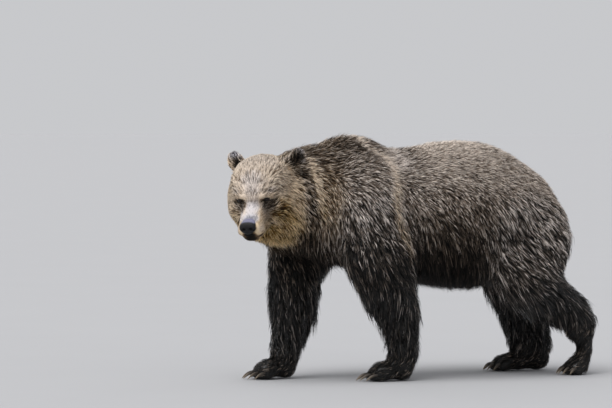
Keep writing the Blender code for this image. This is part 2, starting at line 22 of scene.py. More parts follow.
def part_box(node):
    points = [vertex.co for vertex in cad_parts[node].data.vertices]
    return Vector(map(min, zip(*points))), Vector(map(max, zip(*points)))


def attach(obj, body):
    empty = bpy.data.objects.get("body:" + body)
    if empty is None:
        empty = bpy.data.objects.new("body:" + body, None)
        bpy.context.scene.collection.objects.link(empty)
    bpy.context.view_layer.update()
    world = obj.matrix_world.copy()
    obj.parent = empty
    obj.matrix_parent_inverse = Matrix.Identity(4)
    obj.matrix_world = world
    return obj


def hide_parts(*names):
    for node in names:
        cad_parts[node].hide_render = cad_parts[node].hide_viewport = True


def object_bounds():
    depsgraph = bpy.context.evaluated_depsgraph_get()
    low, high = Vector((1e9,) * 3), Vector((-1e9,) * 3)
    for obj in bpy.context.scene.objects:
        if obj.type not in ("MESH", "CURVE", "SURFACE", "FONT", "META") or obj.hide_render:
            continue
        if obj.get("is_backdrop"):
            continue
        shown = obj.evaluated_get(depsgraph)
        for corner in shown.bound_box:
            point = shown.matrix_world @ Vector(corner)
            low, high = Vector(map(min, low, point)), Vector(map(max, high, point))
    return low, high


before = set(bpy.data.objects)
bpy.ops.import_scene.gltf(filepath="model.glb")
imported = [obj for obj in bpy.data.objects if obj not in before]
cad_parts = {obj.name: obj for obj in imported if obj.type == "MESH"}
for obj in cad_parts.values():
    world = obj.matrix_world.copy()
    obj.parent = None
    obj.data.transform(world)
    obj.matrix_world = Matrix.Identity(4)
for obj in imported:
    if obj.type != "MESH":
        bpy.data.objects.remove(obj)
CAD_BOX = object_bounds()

LOG = logging.getLogger("bear")
SEED = 7
SIDES = {"left": 1.0, "right": -1.0}
FLOOR_GAP = 0.0012  # hair stays this far over the floor
DARKEST, PALEST = 0.0015, 0.75  # the coat's scale of brightness, from wet black to silver

Colour = tuple[float, float, float]
Point = tuple[float, float, float]


# ---------------------------------------------------------------- sums on arrays of points


def eased(value: np.ndarray, low: float, high: float) -> np.ndarray:
    """0 at low, 1 at high, and eased between them."""
    part = np.clip((value - low) / (high - low), 0.0, 1.0)
    return part * part * (3.0 - 2.0 * part)


def far_out(points: np.ndarray, centre: Point, radii: Point) -> np.ndarray:
    """The square of how far out each point is in an ellipsoid: 0 in the middle, 1 on it."""
    return (((points - np.array(centre)) / np.array(radii)) ** 2).sum(axis=1)


def soft_ball(points: np.ndarray, centre: Point, radii: Point) -> np.ndarray:
    """1 at the centre of an ellipsoid, fading to nothing outside it."""
    return np.exp(-far_out(points, centre, radii))


def patch(points: np.ndarray, centre: Point, radii: Point) -> np.ndarray:
    """1 well inside an ellipsoid and 0 well outside it, with a soft edge."""
    return np.exp(-(far_out(points, centre, radii) ** 2))


def ridge(values: np.ndarray, middle: float, width: float) -> np.ndarray:
    """1 where a value is in the middle, fading to nothing on both sides."""
    return np.exp(-(((values - middle) / width) ** 2))


def on_side(point: Point, side: float) -> Point:
    """A point of the left side, or its mirror image for the right."""
    return (side * point[0], point[1], point[2])


def unit(vectors: np.ndarray) -> np.ndarray:
    """The vectors at length 1."""
    return vectors / np.maximum(np.linalg.norm(vectors, axis=-1, keepdims=True), 1e-12)


def laid_on(vectors: np.ndarray, normals: np.ndarray) -> np.ndarray:
    """The vectors turned into the surface that has these normals, at length 1."""
    return unit(vectors - (vectors * normals).sum(axis=1, keepdims=True) * normals)


def tone_of(brightness: Any) -> Any:
    """Where a brightness lies on the coat's scale from wet black, 0, to silver, 1."""
    return np.log(np.maximum(brightness, DARKEST) / DARKEST) / math.log(PALEST / DARKEST)


# ---------------------------------------------------------------- materials


def operator(operation: str, swapped: bool = False) -> Callable[["Wire", Any], "Wire"]:
    """A sum on a wire, which adds a Math node to its tree.

    Args:
        operation: the Math node's operation.
        swapped: True for the reflected form, such as 1 - wire.

    Returns:
        The method for the wire.
    """

    def sum_of(self: "Wire", other: Any) -> "Wire":
        """The Math node's output."""
        first, second = (other, self) if swapped else (self, other)
        return self.tree.node("ShaderNodeMath", {"operation": operation}, {0: first, 1: second})

    return sum_of


class Wire:
    """An output socket in a tree of nodes. Sums on it add Math nodes."""

    def __init__(self, tree: "Tree", socket: bpy.types.NodeSocket) -> None:
        """Wraps one socket of the tree."""
        self.tree = tree
        self.socket = socket

    __add__ = __radd__ = operator("ADD")
    __sub__, __rsub__ = operator("SUBTRACT"), operator("SUBTRACT", swapped=True)
    __mul__ = __rmul__ = operator("MULTIPLY")
    __pow__, __rpow__ = operator("POWER"), operator("POWER", swapped=True)

    def __neg__(self) -> "Wire":
        """-self."""
        return self * -1.0

    def beside(self, output: Any) -> "Wire":
        """Another output of the same node, by its name or index."""
        return Wire(self.tree, self.socket.node.outputs[output])

    def between(self, low: float, high: float) -> "Wire":
        """0 at low, 1 at high, eased and held outside them.

        Args:
            low: where it is 0.
            high: where it is 1.

        Returns:
            The eased value.
        """
        settings = {"interpolation_type": "SMOOTHSTEP"}
        sockets = {"Value": self, "From Min": low, "From Max": high}
        return self.tree.node("ShaderNodeMapRange", settings, sockets)


class Tree:
    """A tree of nodes, for a material or a shape."""

    def __init__(self, tree: bpy.types.NodeTree) -> None:
        """Empties the tree."""
        self.tree = tree
        self.tree.nodes.clear()

    def node(
        self, kind: str, settings: dict[str, Any], sockets: dict[Any, Any], output: Any = 0
    ) -> Wire:
        """Adds a node.

        Args:
            kind: the node's type.
            settings: its properties; "stops" holds a ramp's (place, colour) pairs, and
                "captured" the name of a number that the node keeps.
            sockets: values or wires by the input's name or index.
            output: the name or index of the output to hand back.

        Returns:
            That output.
        """
        node = self.tree.nodes.new(kind)
        for name, value in settings.items():
            if name == "stops":
                self._set_stops(node.color_ramp, value)
            elif name == "captured":
                node.capture_items.new("FLOAT", value)
            else:
                setattr(node, name, value)
        for key, value in sockets.items():
            if isinstance(value, Wire):
                self.tree.links.new(value.socket, node.inputs[key])
            else:
                node.inputs[key].default_value = value
        return Wire(self, node.outputs[output]) if node.outputs else Wire(self, node.inputs[0])

    @staticmethod
    def _set_stops(ramp: bpy.types.ColorRamp, stops: list[tuple[float, Colour]]) -> None:
        """Gives a colour ramp its stops.

        Args:
            ramp: the ramp.
            stops: each stop's place and colour.
        """
        while len(ramp.elements) < len(stops):
            ramp.elements.new(1.0)
        for element, (place, colour) in zip(ramp.elements, stops):
            element.position = place
            element.color = (*colour, 1.0)


class Recipe(Tree):
    """One material's node tree."""

    def __init__(self, name: str) -> None:
        """Starts a material with an empty tree.

        Args:
            name: the material's name.
        """
        self.material = bpy.data.materials.new(name)
        self.material.use_nodes = True
        super().__init__(self.material.node_tree)

    def attribute(self, name: str) -> tuple[Wire, Wire, Wire]:
        """The three values of a vector attribute.

        Args:
            name: the attribute.

        Returns:
            The three values.
        """
        vector = self.node("ShaderNodeAttribute", {"attribute_name": name}, {}, "Vector")
        first = self.node("ShaderNodeSeparateXYZ", {}, {0: vector})
        return first, first.beside(1), first.beside(2)

    def here(self) -> Wire:
        """The place on the object, in its own coordinates."""
        return self.node("ShaderNodeTexCoord", {}, {}, "Object")

    def noise(self, scale: float, detail: float = 2.0, place: Wire | None = None) -> Wire:
        """Soft noise of a scale, from 0 to 1."""
        sockets = {"Vector": place or self.here(), "Scale": scale, "Detail": detail}
        return self.node("ShaderNodeTexNoise", {}, sockets, "Fac")

    def grain(self, place: Wire, detail: float) -> Wire:
        """Noise along one line, from 0 to 1."""
        sockets = {"W": place, "Detail": detail}
        return self.node("ShaderNodeTexNoise", {"noise_dimensions": "1D"}, sockets, "Fac")

    def mixed(self, share: Any, first: Any, second: Any) -> Wire:
        """Two colours mixed by a share.

        Args:
            share: how much of the second colour.
            first: a colour or a wire.
            second: a colour or a wire.

        Returns:
            The mixture.
        """
        colours = [(*c, 1.0) if isinstance(c, tuple) else c for c in (first, second)]
        sockets = {0: share, 6: colours[0], 7: colours[1]}
        return self.node("ShaderNodeMix", {"data_type": "RGBA", "blend_type": "MIX"}, sockets, 2)

    def ramp(self, value: Wire, stops: list[tuple[float, Colour]]) -> Wire:
        """A colour read from a ramp."""
        return self.node("ShaderNodeValToRGB", {"stops": stops}, {0: value}, "Color")

    def bump(self, height: Wire, distance: float, strength: float) -> Wire:
        """A normal raised by a height."""
        sockets = {"Height": height, "Distance": distance, "Strength": strength}
        return self.node("ShaderNodeBump", {}, sockets, "Normal")

    def finish(self, colour: Wire, roughness: Any, **sockets: Any) -> bpy.types.Material:
        """Ends the tree in a Principled shader.

        Args:
            colour: the base colour.
            roughness: a number or a wire.
            sockets: the shader's other inputs, with _ for each space in their names.

        Returns:
            The material.
        """
        inputs = {"Base Color": colour, "Roughness": roughness}
        inputs.update({name.replace("_", " "): value for name, value in sockets.items()})
        shader = self.node("ShaderNodeBsdfPrincipled", {}, inputs, "BSDF")
        self.node("ShaderNodeOutputMaterial", {}, {"Surface": shader})
        return self.material


# The hair's colours from wet black to silver, on its grey and its golden parts, and the bluish
# shades that paint the sky's reflection on the muzzle, round the nose and on the ears.
GREY_SHADES: tuple[Colour, ...] = (
    (0.0018, 0.0017, 0.0016),
    (0.0060, 0.0056, 0.0051),
    (0.020, 0.0175, 0.0152),
    (0.058, 0.049, 0.041),
    (0.132, 0.109, 0.092),
    (0.300, 0.253, 0.222),
    (0.940, 0.860, 0.820),
)
GOLD_SHADES: tuple[Colour, ...] = (
    (0.0060, 0.0036, 0.0013),
    (0.029, 0.0158, 0.0045),
    (0.096, 0.050, 0.0140),
    (0.240, 0.121, 0.029),
    (0.515, 0.298, 0.080),
    (0.950, 0.700, 0.350),
)
SKY_SHEEN_SHADES: tuple[Colour, ...] = (
    (0.0017, 0.0017, 0.0019),
    (0.0058, 0.0056, 0.0066),
    (0.0185, 0.0178, 0.0225),
    (0.052, 0.050, 0.064),
    (0.115, 0.112, 0.145),
    (0.262, 0.258, 0.315),
    (0.860, 0.850, 0.900),
)


def brightness_of(colour: Colour) -> float:
    """How bright a colour looks."""
    return 0.2126 * colour[0] + 0.7152 * colour[1] + 0.0722 * colour[2]


@dataclass(frozen=True)
class HairFinish:
    """The hair's colour, or the skin's under it, from the markings each surface carries, with
    painted shade and light among them.
    """

    name: str = "fur"
    shade: float = 0.0  # how far up or down the coat's scale
    contrast: float = 0.88  # between one strand and the next
    wet_glint_contrast: float = 0.55  # what wet hair adds to that: pale strands painted as glints on wet hair
    rise: float = 0.34  # from the root to the tip
    level_at: float = 0.62  # where on a tuft the marked tone is met
    silver: float = 0.21  # what frost adds at the tips
    patchiness: float = 0.07
    streakiness: float = 0.24
    roughness: float = 0.70
    wet_roughness: float = 0.45
    gloss: float = 0.95  # the clear coat on wet hair
    on_tufts: bool = True  # False on the skin, which has no map of tufts
    streaks: Point = (2200.0, 330.0, 1.0)  # how fine the streaks are across and along a tuft

    def _streak(self, recipe: Recipe) -> Wire:
        """Fine streaks along each tuft; a fine grain on the skin.

        Args:
            recipe: the material's tree.

        Returns:
            The streaks, from 0 to 1.
        """
        if not self.on_tufts:
            return recipe.noise(900.0, 1.0)
        flat = recipe.node("ShaderNodeUVMap", {"uv_map": "OFBake"}, {}, "UV")
        settings = {"operation": "MULTIPLY"}
        place = recipe.node("ShaderNodeVectorMath", settings, {0: flat, 1: self.streaks}, "Vector")
        return recipe.noise(1.0, 1.0, place)

    def material(self) -> bpy.types.Material:
        """Builds the material.

        Returns:
            The material.
        """
        recipe = Recipe(self.name)
        tone, gold_and_sky_sheen, frost = recipe.attribute("marks")
        tip, strand, wet = recipe.attribute("lock")
        streak = self._streak(recipe)
        silver = tip * tip * frost * self.silver
        patchy = (recipe.noise(14.0, 3.0) - 0.5) * self.patchiness
        patchy = patchy + (streak - 0.5) * self.streakiness
        along = (tip - self.level_at) * self.rise
        # wet hair gets a wider spread between strands: painted glints
        strands = (strand - 0.5) * (self.contrast + wet * self.wet_glint_contrast)
        level = tone + silver + along + strands + patchy + self.shade
        grey, golden, sky_reflection = (
            recipe.ramp(level, [(float(tone_of(brightness_of(c))), c) for c in shades])
            for shades in (GREY_SHADES, GOLD_SHADES, SKY_SHEEN_SHADES)
        )
        return recipe.finish(
            # the bluish shades come in where the share is below nothing: a painted reflection of
            # the sky
            recipe.mixed(-gold_and_sky_sheen, recipe.mixed(gold_and_sky_sheen, grey, golden), sky_reflection),
            self.roughness + wet * (self.wet_roughness - self.roughness),
            Specular_IOR_Level=0.12,
            Coat_Weight=wet * self.gloss,
            Coat_Roughness=0.20,
            Normal=recipe.bump(streak, 0.0006, 0.5),
        )


@dataclass(frozen=True)
class NoseFinish:
    """Damp black leather with a fine pebbled grain, with a pale bluish band painted along its upper
    edge as the sky's reflection and the nostrils painted near black as shade.
    """

    dark: Colour = (0.0125, 0.0115, 0.0120)
    # the band along the top: a painted reflection of the sky
    edge: Colour = (0.215, 0.212, 0.300)
    # the nostrils: painted shade
    hollow: Colour = (0.0015, 0.0012, 0.0012)
    pebble: float = 520.0

    def material(self) -> bpy.types.Material:
        """Builds the material.

        Returns:
            The material.
        """
        recipe = Recipe("nose_leather")
        edge, hollow, _ = recipe.attribute("marks")
        settings = {"feature": "DISTANCE_TO_EDGE"}
        sockets = {"Vector": recipe.here(), "Scale": self.pebble}
        pebbles = recipe.node("ShaderNodeTexVoronoi", settings, sockets, "Distance")
        # lit: the share of the painted sky reflection along the top
        lit = (edge + (recipe.noise(160.0) - 0.5) * 0.35).between(0.05, 0.95)
        colour = recipe.mixed(lit, self.dark, self.edge)
        return recipe.finish(
            # the nostrils darkened: painted shade
            recipe.mixed(hollow, colour, self.hollow),
            0.30 + recipe.noise(90.0) * 0.16,
            Specular_IOR_Level=0.22,
            Normal=recipe.bump(pebbles.between(0.0, 0.35), 0.0005, 0.7),
        )


@dataclass(frozen=True)
class EyeFinish:
    """A dark brown iris round a black pupil under a clear wet cornea."""

    iris: Colour = (0.030, 0.012, 0.004)
    ring: Colour = (0.004, 0.002, 0.001)
    pupil: Colour = (0.0008, 0.0006, 0.0006)
    rim: Colour = (0.010, 0.006, 0.005)

    def material(self) -> bpy.types.Material:
        """Builds the material from the distance to the eye's axis.

        Returns:
            The material.
        """
        recipe = Recipe("eye_surface")
        out, around, _ = recipe.attribute("marks")
        spokes = recipe.grain(around * 40.0, 2.0)
        iris = recipe.mixed(out.between(0.30, 0.62), self.iris, self.ring)
        iris = recipe.mixed(spokes * 0.6, iris, self.ring)
        colour = recipe.mixed(out.between(0.20, 0.26), self.pupil, iris)
        return recipe.finish(
            recipe.mixed(out.between(0.60, 0.68), colour, self.rim),
            0.16 + out * 0.05,
            Specular_IOR_Level=0.1,
            Coat_Weight=0.5,
            Coat_Roughness=0.03,
            IOR=1.38,
        )


@dataclass(frozen=True)
class LidFinish:
    """Bare dark skin, damp and blackest along the rim of the eye."""

    rim: Colour = (0.0035, 0.0028, 0.0026)
    skin: Colour = (0.0120, 0.0090, 0.0070)

    def material(self) -> bpy.types.Material:
        """Builds the material from how far each point is from the rim.

        Returns:
            The material.
        """
        recipe = Recipe("lid_skin")
        out, _, _ = recipe.attribute("marks")
        share = (out + (recipe.noise(260.0) - 0.5) * 0.3).between(0.05, 0.75)
        return recipe.finish(
            recipe.mixed(share, self.rim, self.skin),
            0.42 + share * 0.4,
            Specular_IOR_Level=0.2,
            Normal=recipe.bump(recipe.noise(420.0, 3.0), 0.0005, 0.6),
        )


@dataclass(frozen=True)
class ClawFinish:
    """Horn, dark at the root and paler towards a worn tip, with faint lengthwise grain."""

    root: Colour = (0.030, 0.022, 0.016)
    tip: Colour = (0.230, 0.180, 0.125)

    def material(self) -> bpy.types.Material:
        """Builds the material from how far along the claw each point is.

        Returns:
            The material.
        """
        recipe = Recipe("claw_horn")
        along, around, _ = recipe.attribute("marks")
        streak = recipe.grain(around * 9.0, 3.0)
        share = (along + (streak - 0.5) * 0.5).between(0.1, 1.0)
        return recipe.finish(
            recipe.mixed(share, self.root, self.tip),
            0.34 + streak * 0.22,
            Normal=recipe.bump(streak, 0.0004, 0.6),
        )


@dataclass(frozen=True)
class StudioFinish:
    """Plain matt paint for the floor."""

    name: str
    colour: Colour
    roughness: float = 0.9

    def material(self) -> bpy.types.Material:
        """Builds the material, with a faint unevenness.

        Returns:
            The material.
        """
        recipe = Recipe(self.name)
        darker: Colour = tuple(0.97 * part for part in self.colour)
        return recipe.finish(recipe.mixed(recipe.noise(1.5), self.colour, darker), self.roughness)


# ---------------------------------------------------------------- meshes


def placed(name: str, data: Any) -> bpy.types.Object:
    """A new object in the scene, at the origin.

    Args:
        name: its name.
        data: its mesh, curve, camera or light.

    Returns:
        The object.
    """
    made = bpy.data.objects.new(name, data)
    bpy.context.scene.collection.objects.link(made)
    return made


def new_piece(name: str, mesh: bpy.types.Mesh, material: bpy.types.Material) -> bpy.types.Object:
    """Puts a mesh in the scene as a smooth object of one material.

    Args:
        name: the piece's name.
        mesh: its mesh.
        material: its finish.

    Returns:
        The object.
    """
    mesh.materials.clear()
    mesh.materials.append(material)
    mesh.shade_smooth()
    return placed(name, mesh)


def dress(piece: bpy.types.Object, slot: str, *nodes: str) -> None:
    """Ties a finished piece to the bear's root, hides the nodes that it stands for and logs its
    triangles.

    Args:
        piece: the piece.
        slot: its material slot; not used.
        nodes: the nodes, if any.
    """
    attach(piece, "root")
    if nodes:
        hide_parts(*nodes)
    piece.data.calc_loop_triangles()
    LOG.info("%s: %d triangles", piece.name, len(piece.data.loop_triangles))


def set_vectors(mesh: bpy.types.Mesh, name: str, values: np.ndarray) -> None:
    """Stores three values at each vertex of a mesh."""
    layer = mesh.attributes.new(name, "FLOAT_VECTOR", "POINT")
    layer.data.foreach_set("vector", np.ascontiguousarray(values, np.float32).ravel())


def mesh_of(name: str, points: np.ndarray, faces: list[tuple[int, ...]]) -> bpy.types.Mesh:
    """A mesh from points and faces.

    Args:
        name: the mesh's name.
        points: its points.
        faces: the corners of each face.

    Returns:
        The mesh.
    """
    mesh = bpy.data.meshes.new(name)
    mesh.from_pydata([tuple(p) for p in points], [], faces)
    mesh.validate()
    return mesh


def grid_faces(rows: int, across: int) -> list[tuple[int, ...]]:
    """The faces between closed rows of points, each row with as many points.

    Args:
        rows: how many rows there are.
        across: the points in each row.

    Returns:
        The corners of each face.
    """
    starts = [(row * across, spoke) for row in range(rows - 1) for spoke in range(across)]
    quads = [(first + spoke, first + (spoke + 1) % across) for first, spoke in starts]
    return [(a, a + across, b + across, b) for a, b in quads]


def weld(mesh: bpy.types.Mesh) -> None:
    """Merges a mesh's doubled points and turns its faces outwards.

    Args:
        mesh: the mesh, which is changed.
    """
    work = bmesh.new()
    work.from_mesh(mesh)
    bmesh.ops.remove_doubles(work, verts=work.verts, dist=1e-6)
    bmesh.ops.dissolve_degenerate(work, edges=work.edges, dist=1e-7)
    bmesh.ops.recalc_face_normals(work, faces=work.faces)
    work.to_mesh(mesh)
    work.free()


def points_of(mesh: bpy.types.Mesh) -> np.ndarray:
    """A mesh's vertices.

    Args:
        mesh: the mesh.

    Returns:
        One row for each vertex.
    """
    flat = np.empty(len(mesh.vertices) * 3)
    mesh.vertices.foreach_get("co", flat)
    return flat.reshape(-1, 3)


def evaluated(piece: bpy.types.Object) -> bpy.types.Mesh:
    """The mesh that an object's modifiers make; the object is removed.

    Args:
        piece: the object.

    Returns:
        The plain mesh.
    """
    graph = bpy.context.evaluated_depsgraph_get()
    made = bpy.data.meshes.new_from_object(piece.evaluated_get(graph))
    bpy.data.objects.remove(piece)
    return made


# ---------------------------------------------------------------- the bear's own axes


class HeadAxes:
    """The head's own axes, worked out from the eyes and the nose.

    The origin is the bridge of the muzzle; the head looks along -Y, its left is +X.
    """

    EYE: Point = (0.060, -0.0105, 0.020)
    NOSE: Point = (0.0, -0.157, -0.052)
    EAR: Point = (0.138, 0.243, 0.094)

    def __init__(self) -> None:
        """Reads the three pieces from the frame."""
        left = self.middle("eye_left")
        right = self.middle("eye_right")
        between = (left + right) / 2
        across = unit(left - right)
        ahead = unit(self.middle("nose") - between)
        slope = math.atan2(self.EYE[2] - self.NOSE[2], self.EYE[1] - self.NOSE[1])
        under = np.cross(across, ahead)
        back = -math.cos(slope) * ahead + math.sin(slope) * under
        self.turn = np.column_stack((across, back, np.cross(across, back)))
        self.origin = between - self.turn @ np.array(on_side(self.EYE, 0.0))

    @staticmethod
    def middle(node: str) -> np.ndarray:
        """The middle of a node's box."""
        low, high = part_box(node)
        return (np.array(low) + np.array(high)) / 2

    def local(self, points: np.ndarray) -> np.ndarray:
        """Points of the bear in the head's axes."""
        return (points - self.origin) @ self.turn

    def world(self, points: np.ndarray) -> np.ndarray:
        """Points of the head in the bear's axes."""
        return np.asarray(points) @ self.turn.T + self.origin

    def aimed(self, directions: np.ndarray) -> np.ndarray:
        """Directions of the head in the bear's axes."""
        return np.asarray(directions) @ self.turn.T


class Socket:
    """One eye's place, the way it looks and how far its lids open, in the head's axes."""

    RADIUS = 0.0130
    REACH = 0.030  # nothing further from the eye's middle is touched
    LOOK: Point = (0.34, -0.93, 0.02)
    ACROSS, UP, DOWN = 0.92, 0.44, 0.34  # half the opening's angle, and up and down from it
    SLANT = -0.28  # how far the outer corner is turned up
    SHARPNESS = 1.5  # 2 is an oval, less is an almond

    def __init__(self, side: float) -> None:
        """Works out the eye's own axes, the last of which is its look.

        Args:
            side: +1 for the left eye, -1 for the right.
        """
        self.side = side
        self.centre = np.array(on_side(HeadAxes.EYE, side))
        look = unit(np.array(on_side(self.LOOK, side)))
        across = unit(np.cross((0.0, 0.0, 1.0), look))
        self.turn = np.column_stack((across, np.cross(look, across), look))

    def opening(self, angle: np.ndarray) -> np.ndarray:
        """How far from the look the lids' edge is, at angles round the unslanted eye.

        Args:
            angle: the angles.

        Returns:
            The angles from the look.
        """
        over, aside = np.sin(angle), np.abs(np.cos(angle))
        tall = np.where(over > 0, self.UP, self.DOWN)
        power = self.SHARPNESS
        return ((aside / self.ACROSS) ** power + (np.abs(over) / tall) ** power) ** (-1 / power)

    def seen_from(self, local: np.ndarray) -> tuple[np.ndarray, np.ndarray, np.ndarray]:
        """Places as the angle from the look, the angle past the lids' edge and the distance.

        Args:
            local: places in the head's axes.

        Returns:
            The three values at each place.
        """
        way = (local - self.centre) @ self.turn
        distance = np.maximum(np.linalg.norm(way, axis=1), 1e-6)
        polar = np.arccos(np.clip(way[:, 2] / distance, -1, 1))
        angle = np.arctan2(way[:, 1], way[:, 0]) - self.side * self.SLANT
        return polar, polar - self.opening(angle), distance


class Unwrap(Enum):
    """How a part of the skin is laid flat for baking."""

    BALL = "round a centre"
    TUBE = "round an axis"


Levels = tuple[tuple[float, float], ...]  # pairs of a place, mostly a height, and a value there


@dataclass(frozen=True)
class Lie:
    """How the coat lies on one part. Lengths are in metres."""

    depth: float  # from the skin to the tips
    length: float
    width: float  # half of a tuft's width
    spread: float  # tufts to the square metre
    bunch: float  # from loose, 0, to drawn into points, 1
    cell: float  # how wide a lock is
    wet: float
    fall: Levels  # how far below level the hair points towards the tail, in degrees
    brightness: Levels
    gold_and_sky_sheen: float = 0.2
    frost: float = 0.5


# Brightness at heights over the floor. It falls towards the floor partly because the low hair is
# wet and dark, and partly as painted shade under the body and low on its sides.
BACK: Levels = (
    (0.40, 0.0015), (0.50, 0.002), (0.60, 0.011), (0.72, 0.044), (0.85, 0.205), (1.05, 0.850)
)
SHOULDER: Levels = (
    (0.45, 0.006), (0.60, 0.020), (0.75, 0.160), (0.90, 0.215), (1.00, 0.090), (1.08, 0.047)
)
THROAT: Levels = ((0.58, 0.010), (0.68, 0.030), (0.80, 0.043), (0.95, 0.054), (1.08, 0.058))
RUMP: Levels = ((0.43, 0.008), (0.55, 0.028), (0.70, 0.094), (0.85, 0.260), (1.05, 0.320))
FRONT_ARM: Levels = ((0.40, 0.003), (0.50, 0.005), (0.60, 0.015), (0.75, 0.140), (0.88, 0.190))
THIGH: Levels = ((0.33, 0.015), (0.45, 0.030), (0.62, 0.049), (0.75, 0.110), (0.88, 0.200))
SHANK: Levels = ((0.10, 0.0020), (0.30, 0.0024), (0.48, 0.0040))
FOOT: Levels = ((0.00, 0.004), (0.13, 0.004))
FACE: Levels = ((0.50, 0.600), (1.10, 0.600))
EARS: Levels = ((0.90, 0.360), (1.05, 0.360))

# How far below level the hair points, in degrees, at heights over the floor.
BARREL_FALL: Levels = ((0.42, 88), (0.55, 80), (0.70, 62), (0.85, 50), (1.05, 28))
SHOULDER_FALL: Levels = ((0.45, 85), (0.60, 74), (0.75, 58), (0.90, 36), (1.05, 12))
NECK_FALL: Levels = ((0.60, 88), (0.75, 76), (0.90, 45), (1.05, 18))
RUMP_FALL: Levels = ((0.45, 66), (0.60, 54), (0.75, 50), (0.90, 44), (1.05, 28))
ARM_FALL: Levels = ((0.40, 76), (0.55, 62), (0.70, 58), (0.85, 48))
THIGH_FALL: Levels = ((0.38, 34), (0.50, 44), (0.62, 54), (0.75, 56), (0.88, 50))
HOCK_FALL: Levels = ((0.22, 84), (0.31, 60), (0.40, 28), (0.50, 30))
STRAIGHT_DOWN: Levels = ((0.10, 86), (0.50, 80))
OVER_FOOT: Levels = ((0.00, 172), (0.06, 160), (0.13, 118))
UPWARDS: Levels = ((0.50, -90), (1.10, -90))

WET_LEG = Lie(0.017, 0.054, 0.0021, 24000, 0.88, 0.015, 1.0, STRAIGHT_DOWN, SHANK, 0.0, 0.5)
LIES: dict[str, Lie] = {
    "barrel": Lie(0.019, 0.036, 0.0014, 43200, 0.42, 0.0056, 0.15, BARREL_FALL, BACK),
    "chest": Lie(
        0.021, 0.039, 0.0014, 43200, 0.42, 0.0057, 0.10, SHOULDER_FALL, SHOULDER, 0.18, 0.8
    ),
    "neck": Lie(0.021, 0.040, 0.0014, 43200, 0.42, 0.0058, 0.05, NECK_FALL, THROAT, 0.3, 0.8),
    "rump": Lie(0.019, 0.036, 0.0014, 43200, 0.42, 0.0056, 0.20, RUMP_FALL, RUMP),
    "tail": Lie(0.013, 0.042, 0.0019, 30000, 0.45, 0.010, 0.20, STRAIGHT_DOWN, RUMP),
    "head": Lie(0.008, 0.025, 0.0010, 109000, 0.55, 0.0058, 0.0, UPWARDS, FACE, 0.65, 0.5),
    "lower_jaw": Lie(0.006, 0.020, 0.0012, 105000, 0.30, 0.006, 0.0, UPWARDS, FACE, 0.65, 0.3),
    "ear": Lie(0.006, 0.021, 0.0010, 140000, 0.30, 0.006, 0.0, UPWARDS, EARS, 0.45, 0.5),
    "front_leg_upper": Lie(
        0.018, 0.048, 0.0019, 27500, 0.66, 0.011, 0.6, ARM_FALL, FRONT_ARM, 0.1, 0.5
    ),
    "hind_leg_upper": Lie(
        0.018, 0.050, 0.0019, 27500, 0.64, 0.011, 0.6, THIGH_FALL, THIGH, 0.1, 0.5
    ),
    "front_leg_lower": WET_LEG,
    "hind_leg_lower": WET_LEG,
    "hind_leg_lower_left": replace(WET_LEG, length=0.058, spread=26000, fall=HOCK_FALL),
    "front_paw": Lie(0.006, 0.020, 0.0015, 52000, 0.65, 0.010, 0.9, OVER_FOOT, FOOT, 0.15, 0.1),
    "hind_paw": Lie(0.006, 0.022, 0.0015, 52000, 0.65, 0.010, 0.9, OVER_FOOT, FOOT, 0.15, 0.1),
}

# Where the shoulder's back edge lies along Y on the left side, at heights over the floor.
SHOULDER_EDGE: Levels = (
    (0.56, -0.050), (0.63, -0.090), (0.72, -0.116), (0.755, -0.134), (0.80, -0.148),
    (0.85, -0.141), (0.90, -0.125), (0.95, -0.126), (1.005, -0.137), (1.025, -0.157),
    (1.04, -0.182), (1.064, -0.231),
)
RIGHT_SHOULDER = -0.10  # how much further forward the right shoulder is


def lie_of(node: str) -> Lie:
    """The lie of the coat on a node: its own, or that of both sides."""
    return LIES.get(node) or LIES[node.removesuffix("_left").removesuffix("_right")]


def is_flesh(node: str) -> bool:
    """True for the nodes that one skin covers."""
    return not node.startswith(("eye", "nose", "claw"))


